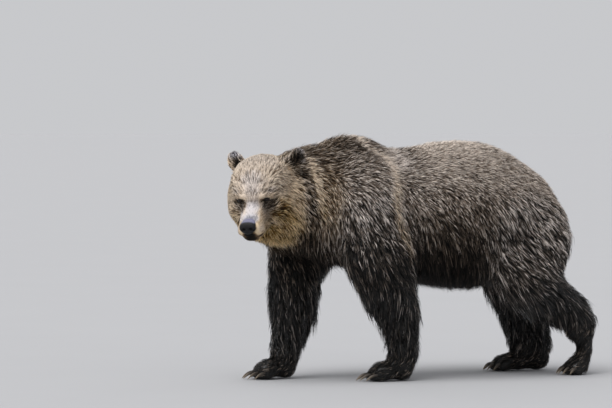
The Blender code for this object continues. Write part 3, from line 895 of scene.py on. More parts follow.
class Skin:
    """The one skin: its points, the lie of its hair and its markings."""

    VOXEL = 0.010
    OVERLAP = 0.0012  # closes the thin gaps between the nodes
    EASING = 5  # rounds that smooth the fused surface
    FINER: tuple[tuple[Point, float], ...] = (  # the head, then the face: middle and reach
        ((0.0, 0.02, 0.0), 0.332),
        ((0.0, -0.060, -0.025), 0.145),
    )
    BLENDING = 45  # rounds that blend one part's coat into the next
    DRIFT = 60  # rounds that widen the coat's chance turns into slow swirls
    SWIRL = 0.09  # how far those swirls turn the hair
    # Where the hair sets out from: low on the muzzle, and higher on the brow.
    PARTING: tuple[Point, Point] = ((0.0, -0.175, -0.075), (0.0, -0.055, 0.010))
    CREST, CREASE = (-0.024, 0.023), (0.046, 0.024)  # their place behind the shoulder, and width; the crest's pale hair gets a painted highlight and the crease gets painted shade
    NAPE, EAR_BACK = 0.21, 0.30  # how far back the head's own faces and the ears' reach

    def __init__(self, axes: HeadAxes) -> None:
        """Builds the skin's mesh and everything known at its points.

        Args:
            axes: the head's own axes.
        """
        self.axes = axes
        self.nodes = sorted(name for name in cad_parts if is_flesh(name))
        mesh = self._fused()
        self._refine(mesh)
        self._read(mesh)
        self.points = self._smoothed(self.points, self.EASING)
        self.normals = self.outward()
        self.part = self._nearest_part()
        self.at = self._fields()
        self.flow = self._flow()
        self.marks = self._markings_and_painted_light()
        self._inset()
        Face(self).sculpt()
        self.normals = self.outward()
        self.flow = laid_on(self.flow, self.normals)

    # ---- the mesh

    def _fused(self) -> bpy.types.Mesh:
        """The flesh nodes, a little swollen, remeshed into one surface.

        Returns:
            The surface.
        """
        joined = bmesh.new()
        for name in self.nodes:
            part = bmesh.new()
            part.from_mesh(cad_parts[name].data)
            bmesh.ops.remove_doubles(part, verts=part.verts, dist=1e-5)
            part.normal_update()
            for vert in part.verts:
                vert.co += vert.normal * self.OVERLAP
            swollen = bpy.data.meshes.new("swollen")
            part.to_mesh(swollen)
            joined.from_mesh(swollen)
            part.free()
        mesh = bpy.data.meshes.new("flesh")
        joined.to_mesh(mesh)
        joined.free()
        holder = placed("flesh", mesh)
        remesh = holder.modifiers.new("one_surface", "REMESH")
        remesh.mode = "VOXEL"
        remesh.voxel_size = self.VOXEL
        return evaluated(holder)

    def _refine(self, mesh: bpy.types.Mesh) -> None:
        """Keeps the outer surface and gives the head, then the face, finer faces.

        Args:
            mesh: the surface, which is changed.
        """
        work = bmesh.new()
        work.from_mesh(mesh)
        islands = list(connected(work))
        biggest = max(islands, key=len)
        stray = [vert for island in islands if island is not biggest for vert in island]
        bmesh.ops.delete(work, geom=stray, context="VERTS")
        for middle, reach in self.FINER:
            centre = Vector(self.axes.world(np.array(middle)))
            near = [
                edge
                for edge in work.edges
                if all((v.co - centre).length < reach and self._on_head(v.co) for v in edge.verts)
            ]
            bmesh.ops.subdivide_edges(work, edges=near, cuts=1, use_grid_fill=True)
        work.to_mesh(mesh)
        work.free()

    def _on_head(self, place: Vector) -> bool:
        """True for places on the head and its ears.

        Args:
            place: a place in the bear's axes.

        Returns:
            True on the head.
        """
        across, along, up = self.axes.local(np.array(place))
        on_ear = abs(across) > 0.098 and up > 0.035 and along < self.EAR_BACK
        return bool(along < self.NAPE or on_ear)

    def _read(self, mesh: bpy.types.Mesh) -> None:
        """Keeps the mesh's points, corners and edges as arrays.

        Args:
            mesh: the finished surface.
        """
        self.mesh = mesh
        self.points = points_of(mesh)
        edges = np.empty(len(mesh.edges) * 2, np.int64)
        mesh.edges.foreach_get("vertices", edges)
        self.edges = edges.reshape(-1, 2)
        mesh.calc_loop_triangles()
        corners = np.empty(len(mesh.loop_triangles) * 3, np.int64)
        mesh.loop_triangles.foreach_get("vertices", corners)
        self.triangles = corners.reshape(-1, 3)
        self.neighbours = np.bincount(self.edges.ravel(), minlength=len(self.points))

    def _smoothed(self, values: np.ndarray, rounds: int, share: float = 0.5) -> np.ndarray:
        """Values at the points, each drawn towards its neighbours' mean.

        Args:
            values: one row for each point.
            rounds: how many times they are drawn.
            share: how far each time.

        Returns:
            The smoothed values.
        """
        first, second = self.edges[:, 0], self.edges[:, 1]
        count = len(self.points)
        values = values.copy()
        for _ in range(rounds):
            for column in range(values.shape[1]):
                line = values[:, column]
                total = np.bincount(first, line[second], count)
                total = total + np.bincount(second, line[first], count)
                values[:, column] = line + share * (total / self.neighbours - line)
        return values

    def outward(self) -> np.ndarray:
        """The outward normal at each point.

        Returns:
            Vectors of length 1.
        """
        a, b, c = (self.points[self.triangles[:, k]] for k in range(3))
        faces = np.cross(b - a, c - a)
        total = np.zeros_like(self.points)
        for k in range(3):
            for axis in range(3):
                corner = self.triangles[:, k]
                total[:, axis] += np.bincount(corner, faces[:, axis], len(self.points))
        return unit(total)

    # ---- what is known at each point

    def _nearest_part(self) -> np.ndarray:
        """The index of the node that each point belongs to.

        Returns:
            One index for each point.
        """
        verts: list[Vector] = []
        faces: list[tuple[int, ...]] = []
        owner: list[int] = []
        for index, name in enumerate(self.nodes):
            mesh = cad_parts[name].data
            start = len(verts)
            verts.extend(vert.co.copy() for vert in mesh.vertices)
            faces.extend(tuple(start + i for i in poly.vertices) for poly in mesh.polygons)
            owner.extend([index] * len(mesh.polygons))
        tree = BVHTree.FromPolygons(verts, faces)
        hits = (tree.find_nearest(Vector(point))[2] for point in self.points)
        return np.array([owner[hit] for hit in hits])

    def _fields(self) -> dict[str, np.ndarray]:
        """The sizes of the coat at each point, blended from part to part.

        Returns:
            The values by their names.
        """
        lies = [lie_of(name) for name in self.nodes]
        names = ("depth", "length", "width", "spread", "bunch", "cell", "wet", "gold_and_sky_sheen", "frost")
        table = np.array([[getattr(lie, name) for name in names] for lie in lies])
        height = self.points[:, 2]
        tone, fall = np.zeros((2, len(height)))
        for index, lie in enumerate(lies):
            own = self.part == index
            places, levels = zip(*lie.brightness)
            tone[own] = np.interp(height[own], places, tone_of(np.array(levels)))
            fall[own] = np.radians(np.interp(height[own], *zip(*lie.fall)))
        along = np.column_stack((np.zeros(len(fall)), np.cos(fall), -np.sin(fall)))
        stack = np.column_stack((table[self.part], tone, along))
        stack = self._smoothed(stack, self.BLENDING)
        values = {name: stack[:, i] for i, name in enumerate(names)}
        values["tone"] = stack[:, len(names)]
        self.along = stack[:, len(names) + 1 :]
        values["head"] = self.share_of("head", "lower_jaw", "ear")
        self.crest, self.crease = self._behind_shoulder(values["head"])
        self._shorten_on_face(values)
        self._lengthen_fringes(values)
        sole = (1 - eased(height, 0.004, 0.020)) * eased(-self.normals[:, 2], 0.3, 0.8)
        values["sole"] = sole
        values["depth"] *= 1 - sole
        return values

    def share_of(self, *starts: str, rounds: int = 20) -> np.ndarray:
        """1 on the nodes whose names start so, 0 elsewhere, blended between.

        Args:
            starts: how the names start.
            rounds: how widely it is blended.

        Returns:
            A share for each point.
        """
        own = np.array([name.startswith(starts) for name in self.nodes])[self.part]
        return self._smoothed(own.astype(float)[:, None], rounds)[:, 0]

    def _behind_shoulder(self, head: np.ndarray) -> tuple[np.ndarray, np.ndarray]:
        """How near each point is to the shoulder's crest, pale hair with a painted highlight, and
        to the crease behind it, which gets painted shade.

        Args:
            head: how much each point belongs to the head.

        Returns:
            The two shares.
        """
        height = self.points[:, 2]
        moved = RIGHT_SHOULDER * eased(-self.points[:, 0], -0.04, 0.10)
        past = self.points[:, 1] - np.interp(height, *zip(*SHOULDER_EDGE)) - moved
        crest = ridge(past, *self.CREST) * eased(height, 0.50, 0.64)
        crease = ridge(past, *self.CREASE) * eased(height, 0.44, 0.54)
        return crest * (1 - head), crease * (1 - eased(height, 0.80, 0.98)) * (1 - head)

    def _shorten_on_face(self, values: dict[str, np.ndarray]) -> None:
        """Shortens the coat from the ruff to the nose, and thins it round the eyes.

        Args:
            values: the sizes of the coat, which are changed.
        """
        local = self.axes.local(self.points)
        head = values["head"]
        muzzle = head * (1 - eased(local[:, 1], -0.062, 0.012))
        ruff = head * eased(local[:, 1], 0.06, 0.17) * (1 - eased(local[:, 2], -0.02, 0.08))
        for name, more in (("depth", 0.008), ("length", 0.018), ("width", 0.0004)):
            values[name] += ruff * more
        values["spread"] += muzzle * 190000 - ruff * 55000
        values["pale_root"] = muzzle
        lost = [(muzzle, {"depth": 0.62, "length": 0.50, "width": 0.35, "bunch": 0.8})]
        eye = (HeadAxes.EYE[0], HeadAxes.EYE[1] - 0.010, HeadAxes.EYE[2] - 0.003)
        for side in SIDES.values():
            near = head * soft_ball(local, on_side(eye, side), (0.024, 0.030, 0.016))
            before_ear = on_side((0.125, 0.180, 0.075), side)
            near = np.maximum(near, soft_ball(local, before_ear, (0.035, 0.030, 0.035)))
            lost.append((near, {"length": 0.55, "depth": 0.65, "width": 0.25}))
        for share, parts in lost:
            for name, part in parts.items():
                values[name] *= 1 - part * share

    def _lengthen_fringes(self, values: dict[str, np.ndarray]) -> None:
        """Hangs long locks behind the forelegs and under the belly, and raises the mane.

        Args:
            values: the sizes of the coat, which are changed.
        """
        height = self.points[:, 2]
        body = 1 - values["head"]
        behind = self.share_of("front_leg") * eased(self.normals[:, 1], 0.2, 0.8)
        behind = behind * eased(height, 0.12, 0.22)
        under = body * eased(-self.normals[:, 2], 0.1, 0.8) * eased(height, 0.25, 0.42)
        hang = np.maximum(behind, under)
        mane = soft_ball(self.points, (0.0, -0.38, 1.07), (0.16, 0.16, 0.09)) * body
        values["length"] += hang * 0.022 + mane * 0.006
        values["depth"] += hang * 0.012 + mane * 0.006 + self.crease * 0.012
        values["bunch"] += hang * 0.5 * (0.90 - values["bunch"])
        values["cell"] += hang * 0.004

    def _flow(self) -> np.ndarray:
        """Where the hair points: from the nose over the head, and down and back on the body.

        Returns:
            Vectors of length 1 in the surface.
        """
        local = self.axes.local(self.points)
        fan = eased(local[:, 2], 0.020, 0.062)[:, None]
        source = np.array(self.PARTING[0]) * (1 - fan) + np.array(self.PARTING[1]) * fan
        radial = unit(local - source)
        radial[:, 1] += 0.22
        cheek = eased(np.abs(local[:, 0]), 0.055, 0.120) * (1 - eased(local[:, 2], 0.04, 0.13))
        cheek = cheek * eased(local[:, 1], -0.01, 0.09)
        radial[:, 2] -= 2.6 * cheek
        for side in SIDES.values():
            away = local - np.array(on_side(HeadAxes.EYE, side))
            near = np.exp(-((np.linalg.norm(away, axis=1) / 0.022) ** 4))
            radial += unit(away) * near[:, None]
        head = self.at["head"][:, None]
        ear = self.share_of("ear", rounds=6)[:, None]
        up = np.tile((0.0, 0.1, 1.0), (len(local), 1))
        up[:, 0] = np.sign(local[:, 0]) * 0.45
        radial = unit(radial) * (1 - ear) + up * ear
        flow = self.along * (1 - head) + self.axes.aimed(radial) * head
        flow = laid_on(self._smoothed(laid_on(flow, self.normals), 6), self.normals)
        side = np.cross(self.normals, flow)
        chance = np.random.default_rng(SEED + 1)
        drift = self._smoothed(chance.normal(0.0, 1.0, (len(local), 1)), self.DRIFT)[:, 0]
        return unit(flow + side * (drift / drift.std() * self.SWIRL)[:, None])

    def _markings_and_painted_light(self) -> np.ndarray:
        """Tone, the golden and bluish sky-reflection share, and frost at each point, with a painted
        highlight on the shoulder's crest and painted shade in the crease behind it.

        Returns:
            One row for each point.
        """
        tone, gold_and_sky_sheen, frost = (self.at[name].copy() for name in ("tone", "gold_and_sky_sheen", "frost"))
        local = self.axes.local(self.points)
        head = self.at["head"]
        for mark in MARKINGS_AND_PAINTED_LIGHT:
            where = local if mark.on_head else self.points
            for side in SIDES.values() if mark.paired else (1.0,):
                share = patch(where, on_side(mark.centre, side), mark.radii) * mark.strength
                if mark.on_head:
                    share = share * head
                tone += share * (tone_of(mark.brightness) - tone)
                gold_and_sky_sheen += share * (mark.gold_and_sky_sheen - gold_and_sky_sheen)
                frost += share * (mark.frost - frost)
        # The crest's pale reddish hair, with a painted highlight that grows towards its top, and
        # painted shade in the crease behind it.
        high = eased(self.points[:, 2], 0.72, 1.0)
        tone += self.crest * (0.15 + 0.38 * high) - 0.14 * self.crease
        gold_and_sky_sheen += self.crest * (0.4 - 0.3 * high)
        frost += self.crest * 0.3
        limits = ((tone, 0.0, 1.30), (gold_and_sky_sheen, -1.0, 1.0), (frost, 0.0, 1.0))
        return np.column_stack([np.clip(*limit) for limit in limits])

    def _inset(self) -> None:
        """Draws the skin in by the depth of the coat."""
        depth = self.at["depth"] + self.OVERLAP
        self.points = self._smoothed(self.points - self.normals * depth[:, None], 2, 0.4)
        self.points[:, 2] = np.maximum(self.points[:, 2], FLOOR_GAP / 2)

    # ---- the piece

    def piece(self, material: bpy.types.Material) -> bpy.types.Object:
        """Makes the skin's object, with the same markings as its coat.

        Args:
            material: the skin's finish.

        Returns:
            The piece.
        """
        mesh = self.mesh
        mesh.vertices.foreach_set("co", self.points.astype(np.float32).ravel())
        mesh.update()
        set_vectors(mesh, "marks", self.marks)
        tip = 0.2 + 0.5 * self.at["pale_root"]
        lock = np.column_stack((tip, np.full(len(tip), 0.5), self.at["wet"] * 0.6))
        set_vectors(mesh, "lock", lock)
        return new_piece("skin", mesh, material)


def connected(work: bmesh.types.BMesh) -> Iterator[list[bmesh.types.BMVert]]:
    """The islands of a mesh, each as its vertices.

    Args:
        work: the mesh.

    Yields:
        The vertices of each island.
    """
    seen: set[bmesh.types.BMVert] = set()
    for start in work.verts:
        if start in seen:
            continue
        seen.add(start)
        island = [start]
        for vert in island:
            for edge in vert.link_edges:
                other = edge.other_vert(vert)
                if other not in seen:
                    seen.add(other)
                    island.append(other)
        yield island


@dataclass(frozen=True)
class Mark:
    """A soft patch of colour, in the head's axes or the bear's."""

    centre: Point
    radii: Point
    brightness: float
    gold_and_sky_sheen: float = 0.4  # golden above nothing; below nothing, a bluish tint painted as the sky's reflection
    frost: float = 0.4
    strength: float = 1.0
    paired: bool = True
    on_head: bool = True


# The bear's markings, with painted shade and painted sky reflection among them, each laid over
# those before it.
MARKINGS_AND_PAINTED_LIGHT: tuple[Mark, ...] = (
    Mark((0.0, 0.1, 0.02), (0.22, 0.17, 0.16), 1.15, 0.34, 0.4, 1.0, False),  # the whole face
    Mark((0.125, 0.08, -0.07), (0.055, 0.09, 0.08), 0.33, 1.0, 0.2, 0.95),  # cheek
    # its dark middle
    Mark((0.098, 0.02, -0.055), (0.04, 0.055, 0.055), 0.062, 1.0, 0.2, 0.9, False),
    # beside the eye
    Mark((0.09, 0.012, -0.024), (0.024, 0.03, 0.022), 0.095, 0.7, 0.2, 0.8, False),
    Mark((0.04, 0.025, -0.14), (0.05, 0.05, 0.032), 0.075, 1.0, 0.1, 0.85, False),  # under the jaw
    Mark((-0.125, 0.04, -0.01), (0.042, 0.06, 0.085), 1.5, 0.4, 0.4, 0.9, False),  # far cheek
    Mark((0.162, 0.09, 0.0), (0.034, 0.06, 0.105), 1.6, 0.55, 0.4, 0.9),  # ruff's edge
    Mark((0.0, 0.1, -0.185), (0.19, 0.16, 0.08), 0.24, 1.0, 0.0, 0.95, False),  # throat
    Mark((0.03, 0.06, -0.232), (0.11, 0.1, 0.03), 0.9, 0.9, 0.1, 0.9, False),  # its lower edge
    Mark((0.0, 0.01, 0.085), (0.1, 0.085, 0.055), 1.7, 0.26, 0.4, 1.0, False),  # forehead
    Mark((0.0, 0.12, 0.16), (0.15, 0.12, 0.07), 2.6, 0.24, 0.5, 1.0, False),  # crown
    Mark((0.0, -0.004, 0.102), (0.05, 0.05, 0.04), 0.85, 0.0, 0.3, 0.8, False),  # its middle
    # between the brows
    Mark((0.0, -0.024, 0.052), (0.036, 0.025, 0.03), 0.27, 0.0, 0.3, 0.9, False),
    Mark((0.062, 0.0, 0.052), (0.04, 0.03, 0.014), 0.4, 0.15, 0.4, 0.85),  # brow
    # bridge: pale hair with a bluish tint painted as the sky's reflection
    Mark((0.0, -0.062, 0.0), (0.034, 0.045, 0.03), 0.95, -0.45, 0.2, 1.0, False),  # bridge
    Mark((0.0, -0.036, 0.03), (0.026, 0.018, 0.018), 0.44, 0.15, 0.2, 0.8, False),  # its upper end
    # muzzle's side, darkened by painted shade
    Mark((0.056, -0.062, -0.04), (0.022, 0.05, 0.036), 0.215, 0.3, 0.1, 0.9, False),
    # its far side: pale hair with a faint bluish tint painted as the sky's reflection
    Mark((-0.05, -0.075, -0.034), (0.02, 0.045, 0.03), 0.95, -0.2, 0.1, 0.9, False),  # its far side
    # over the nose and round its top: a bluish tint painted as the sky's reflection
    Mark((0.0, -0.115, -0.024), (0.04, 0.04, 0.022), 0.85, -0.6, 0.2, 1.0, False),  # over the nose
    Mark((0.0, -0.122, -0.024), (0.04, 0.02, 0.016), 0.3, -1.0, 0.1, 0.9, False),  # round its top
    Mark((0.05, -0.128, -0.066), (0.02, 0.03, 0.022), 0.48, 0.3, 0.2, 0.9),  # whisker pad
    # inner eye's track
    Mark((0.051, -0.034, -0.016), (0.014, 0.034, 0.034), 0.065, 0.1, 0.1, 0.85),
    Mark((0.05, -0.025, 0.017), (0.017, 0.028, 0.011), 0.012, 0.4, 0.0, 1.0),  # inner corner
    Mark((0.074, -0.007, 0.001), (0.019, 0.028, 0.011), 0.014, 0.4, 0.0, 1.0),  # outer corner
    Mark((0.072, -0.006, -0.02), (0.025, 0.042, 0.024), 0.08, 0.3, 0.1, 0.9),  # under the eye
    Mark((0.0, -0.158, -0.09), (0.027, 0.03, 0.016), 0.004, 0.1, 0.0, 1.0, False),  # upper lip
    Mark((0.044, -0.1, -0.103), (0.016, 0.065, 0.008), 0.008, 0.3, 0.0, 0.95),  # line of the mouth
    Mark((0.0, -0.14, -0.113), (0.034, 0.024, 0.013), 0.006, 0.2, 0.0, 0.95, False),  # lower lip
    Mark((0.0, -0.105, -0.138), (0.045, 0.045, 0.014), 0.09, 0.9, 0.1, 0.9, False),  # chin
    # left ear: brown hair with a bluish tint painted as the sky's reflection
    Mark((0.156, 0.252, 0.118), (0.05, 0.04, 0.05), 0.12, -0.4, 0.2, 0.95, False),  # left ear
    Mark((0.102, 0.228, 0.122), (0.03, 0.036, 0.036), 0.11, 0.2, 0.2, 0.9, False),  # its inner side
    # the left ear's hollow: painted shade
    Mark((0.134, 0.222, 0.08), (0.026, 0.03, 0.046), 0.008, 0.3, 0.0, 1.0, False),  # its hollow
    # below the left ear: painted shade at the top of the crease behind the ruff
    Mark((0.152, 0.196, 0.048), (0.028, 0.034, 0.036), 0.02, 0.4, 0.0, 0.95, False),  # below it
    # right ear: a pale rim with a bluish tint painted as the sky's reflection
    Mark((-0.134, 0.23, 0.132), (0.032, 0.04, 0.028), 0.26, -0.9, 0.1, 0.9, False),  # right ear
    # the right ear's hollow: painted shade
    Mark((-0.124, 0.222, 0.082), (0.018, 0.026, 0.032), 0.01, 0.0, 0.0, 1.0, False),  # its hollow
    Mark((0.17, -0.45, 0.84), (0.09, 0.06, 0.16), 0.14, 0.5, 0.6, 0.9, True, False),  # mane's side
    # behind the ruff: a dark band of painted shade down the crease there
    Mark((0.15, -0.556, 0.94), (0.07, 0.026, 0.05), 0.04, 0.3, 0.2, 0.95, True, False),
    Mark((0.175, -0.546, 0.865), (0.07, 0.028, 0.06), 0.052, 0.3, 0.2, 0.95, True, False),
    Mark((0.18, -0.538, 0.795), (0.07, 0.03, 0.06), 0.044, 0.3, 0.2, 0.95, True, False),
    Mark((0.168, -0.522, 0.725), (0.07, 0.036, 0.05), 0.018, 0.3, 0.2, 0.95, True, False),
    Mark((0.125, -0.53, 0.66), (0.08, 0.06, 0.05), 0.009, 0.3, 0.1, 0.95, True, False),
    # pale strip
    Mark((0.13, -0.524, 0.98), (0.06, 0.014, 0.045), 1.5, 0.45, 0.7, 0.95, True, False),
    Mark((0.165, -0.506, 0.915), (0.06, 0.015, 0.05), 1.4, 0.45, 0.7, 0.95, True, False),
    Mark((0.18, -0.492, 0.845), (0.06, 0.015, 0.05), 0.9, 0.5, 0.7, 0.9, True, False),
    Mark((0.18, -0.48, 0.78), (0.06, 0.014, 0.045), 0.26, 0.7, 0.7, 0.85, True, False),
    # the saddle
    Mark((0.1, -0.095, 0.985), (0.14, 0.065, 0.08), 0.85, 0.1, 0.6, 0.85, True, False),
    # breast, under the head: near black, partly wet dark hair and partly painted shade
    Mark((0.0, -0.52, 0.51), (0.2, 0.13, 0.11), 0.004, 0.2, 0.1, 0.9, False, False),  # breast
)


# Where the skin of the face rises or sinks, on both sides: the middle, the radii and how far.
SWELLINGS: tuple[tuple[Point, Point, float], ...] = (
    ((0.050, -0.008, 0.043), (0.026, 0.028, 0.010), 0.009),  # brow
    ((0.076, 0.004, 0.034), (0.022, 0.028, 0.012), 0.009),  # its outer end
    ((0.034, -0.035, 0.008), (0.010, 0.022, 0.014), -0.004),  # beside the bridge
    ((0.075, 0.010, -0.006), (0.020, 0.030, 0.012), 0.003),  # under the eye
    ((0.034, -0.125, -0.075), (0.020, 0.030, 0.018), 0.003),  # whisker pad
)


class Face:
    """Shapes the skin of the head: brows, sockets, cheeks, lips and the line of the mouth."""

    EARS = ((1.0, 1.08, 0.24), (-1.0, 1.06, 0.0))  # each ear's side, growth and lean outwards
    EAR_FOOT = 0.055  # the height from which the ears grow taller
    EAR_SPREAD = 0.24

    def __init__(self, skin: Skin) -> None:
        """Keeps the skin to shape."""
        self.skin = skin

    def sculpt(self) -> None:
        """Moves the skin's points along their normals."""
        skin = self.skin
        local = skin.axes.local(skin.points)
        normals = skin.outward() @ skin.axes.turn
        rise = np.zeros(len(local))
        for centre, radii, height in SWELLINGS:
            left, right = (soft_ball(local, on_side(centre, s), radii) for s in SIDES.values())
            rise += (left + right) * height
        rise -= self._groove(local) * 0.006
        lip = soft_ball(local, (0.0, -0.160, -0.082), (0.02, 0.02, 0.016))
        rise -= ridge(local[:, 0], 0.0, 0.0022) * lip * 0.003
        rise -= soft_ball(local, (0.010, 0.055, -0.245), (0.110, 0.100, 0.060)) * 0.024  # throat
        rise *= eased(skin.at["head"], 0.2, 0.8)
        moved = self._with_ears(local + normals * rise[:, None])
        for side in SIDES.values():
            moved = self._lidded(moved, Socket(side))
        skin.points = skin.axes.world(moved)

    def _with_ears(self, local: np.ndarray) -> np.ndarray:
        """Spreads the ears, which the coat's depth has thinned, to their full size.

        Args:
            local: the skin's points in the head's axes.

        Returns:
            The moved points.
        """
        share = eased(self.skin.share_of("ear"), 0.25, 0.75)
        moved = local.copy()
        for side, taller, lean in self.EARS:
            own = share * (local[:, 0] * side > 0)
            moved[:, 0] += own * (local[:, 0] - side * HeadAxes.EAR[0]) * self.EAR_SPREAD
            high = own * np.maximum(local[:, 2] - self.EAR_FOOT, 0.0)
            moved[:, 0] += side * high * lean
            moved[:, 2] += high * (taller - 1)
        return moved

    @staticmethod
    def _lidded(local: np.ndarray, socket: Socket) -> np.ndarray:
        """Lays the skin round an eye over the ball, and tucks it away inside the opening.

        Args:
            local: the skin's points in the head's axes.
            socket: the eye.

        Returns:
            The moved points.
        """
        polar, past, distance = socket.seen_from(local)
        near = (1 - eased(polar, 0.95, 1.45)) * (distance < Socket.REACH)
        goal = Socket.RADIUS + 0.0008 - 0.0060 * (1 - eased(past, 0.0, 0.12))
        way = (local - socket.centre) / distance[:, None]
        return local + way * ((goal - distance) * near)[:, None]

    @staticmethod
    def _groove(local: np.ndarray) -> np.ndarray:
        """The line of the mouth, which rises a little towards its corners.

        Args:
            local: the skin's points in the head's axes.

        Returns:
            A share for each point.
        """
        level = -0.101 + 0.010 * eased(local[:, 1], -0.09, 0.0)
        return ridge(local[:, 2], level, 0.0035) * eased(-local[:, 1], 0.004, 0.030)


# ---------------------------------------------------------------- the coat


@dataclass(frozen=True)
class CoatPiece:
    """One mesh of the coat: the nodes that it grows from and how it is laid flat."""

    name: str
    nodes: tuple[str, ...]
    slot: str
    unwrap: Unwrap
    side: float = 0.0  # +1 or -1 keeps only that side
    on_head: bool = False


def coat_pieces() -> list[CoatPiece]:
    """The coat's pieces, from the nose to the hind paws.

    Returns:
        The pieces.
    """
    made: list[CoatPiece] = []
    for side, sign in SIDES.items():
        head = ("head", "lower_jaw", f"ear_{side}")
        made.append(CoatPiece(f"coat_head_{side}", head, "pale_fur", Unwrap.BALL, sign, True))
        for node in ("neck", "chest", "barrel", "rump"):
            nodes = (node, "tail") if node == "rump" else (node,)
            made.append(CoatPiece(f"coat_{node}_{side}", nodes, "brown_fur", Unwrap.BALL, sign))
        for leg in ("front", "hind"):
            nodes = (f"{leg}_leg_upper_{side}", f"{leg}_leg_lower_{side}", f"{leg}_paw_{side}")
            made.append(CoatPiece(f"coat_{leg}_leg_{side}", nodes, "dark_fur", Unwrap.TUBE))
    return made


@dataclass(frozen=True)
class Spike:
    """The faces of one closed tuft, its root's ring first and its tip last."""

    verts: int
    faces: tuple[tuple[int, ...], ...]
    along: tuple[float, ...]  # how far each point is towards the tip

    def patch(self) -> np.ndarray:
        """The corners of the faces laid side by side in a square from -0.5 to 0.5.

        Returns:
            One row for each corner.
        """
        corners: list[tuple[float, float]] = []
        for number, face in enumerate(self.faces):
            column = number % 3
            if 2 in face and 0 in face and 1 in face:
                corners += [(1.0, 2.1), (2.0, 2.1), (1.5, 2.9)]
            elif len(face) == 4:
                corners += [(column, 0.0), (column + 1, 0.0), (column + 1, 1.0), (column, 1.0)]
            else:
                corners += [(column, 1.0), (column + 1, 1.0), (column + 0.5, 2.0)]
        return np.array(corners) / 3.0 - 0.5


BENT = Spike(
    7,
    ((0, 1, 4, 3), (1, 2, 5, 4), (2, 0, 3, 5), (3, 4, 6), (4, 5, 6), (5, 3, 6), (2, 1, 0)),
    (0.0, 0.0, 0.0, 0.5, 0.5, 0.5, 1.0),
)
STRAIGHT = Spike(4, ((0, 1, 3), (1, 2, 3), (2, 0, 3), (2, 1, 0)), (0.0, 0.0, 0.0, 1.0))


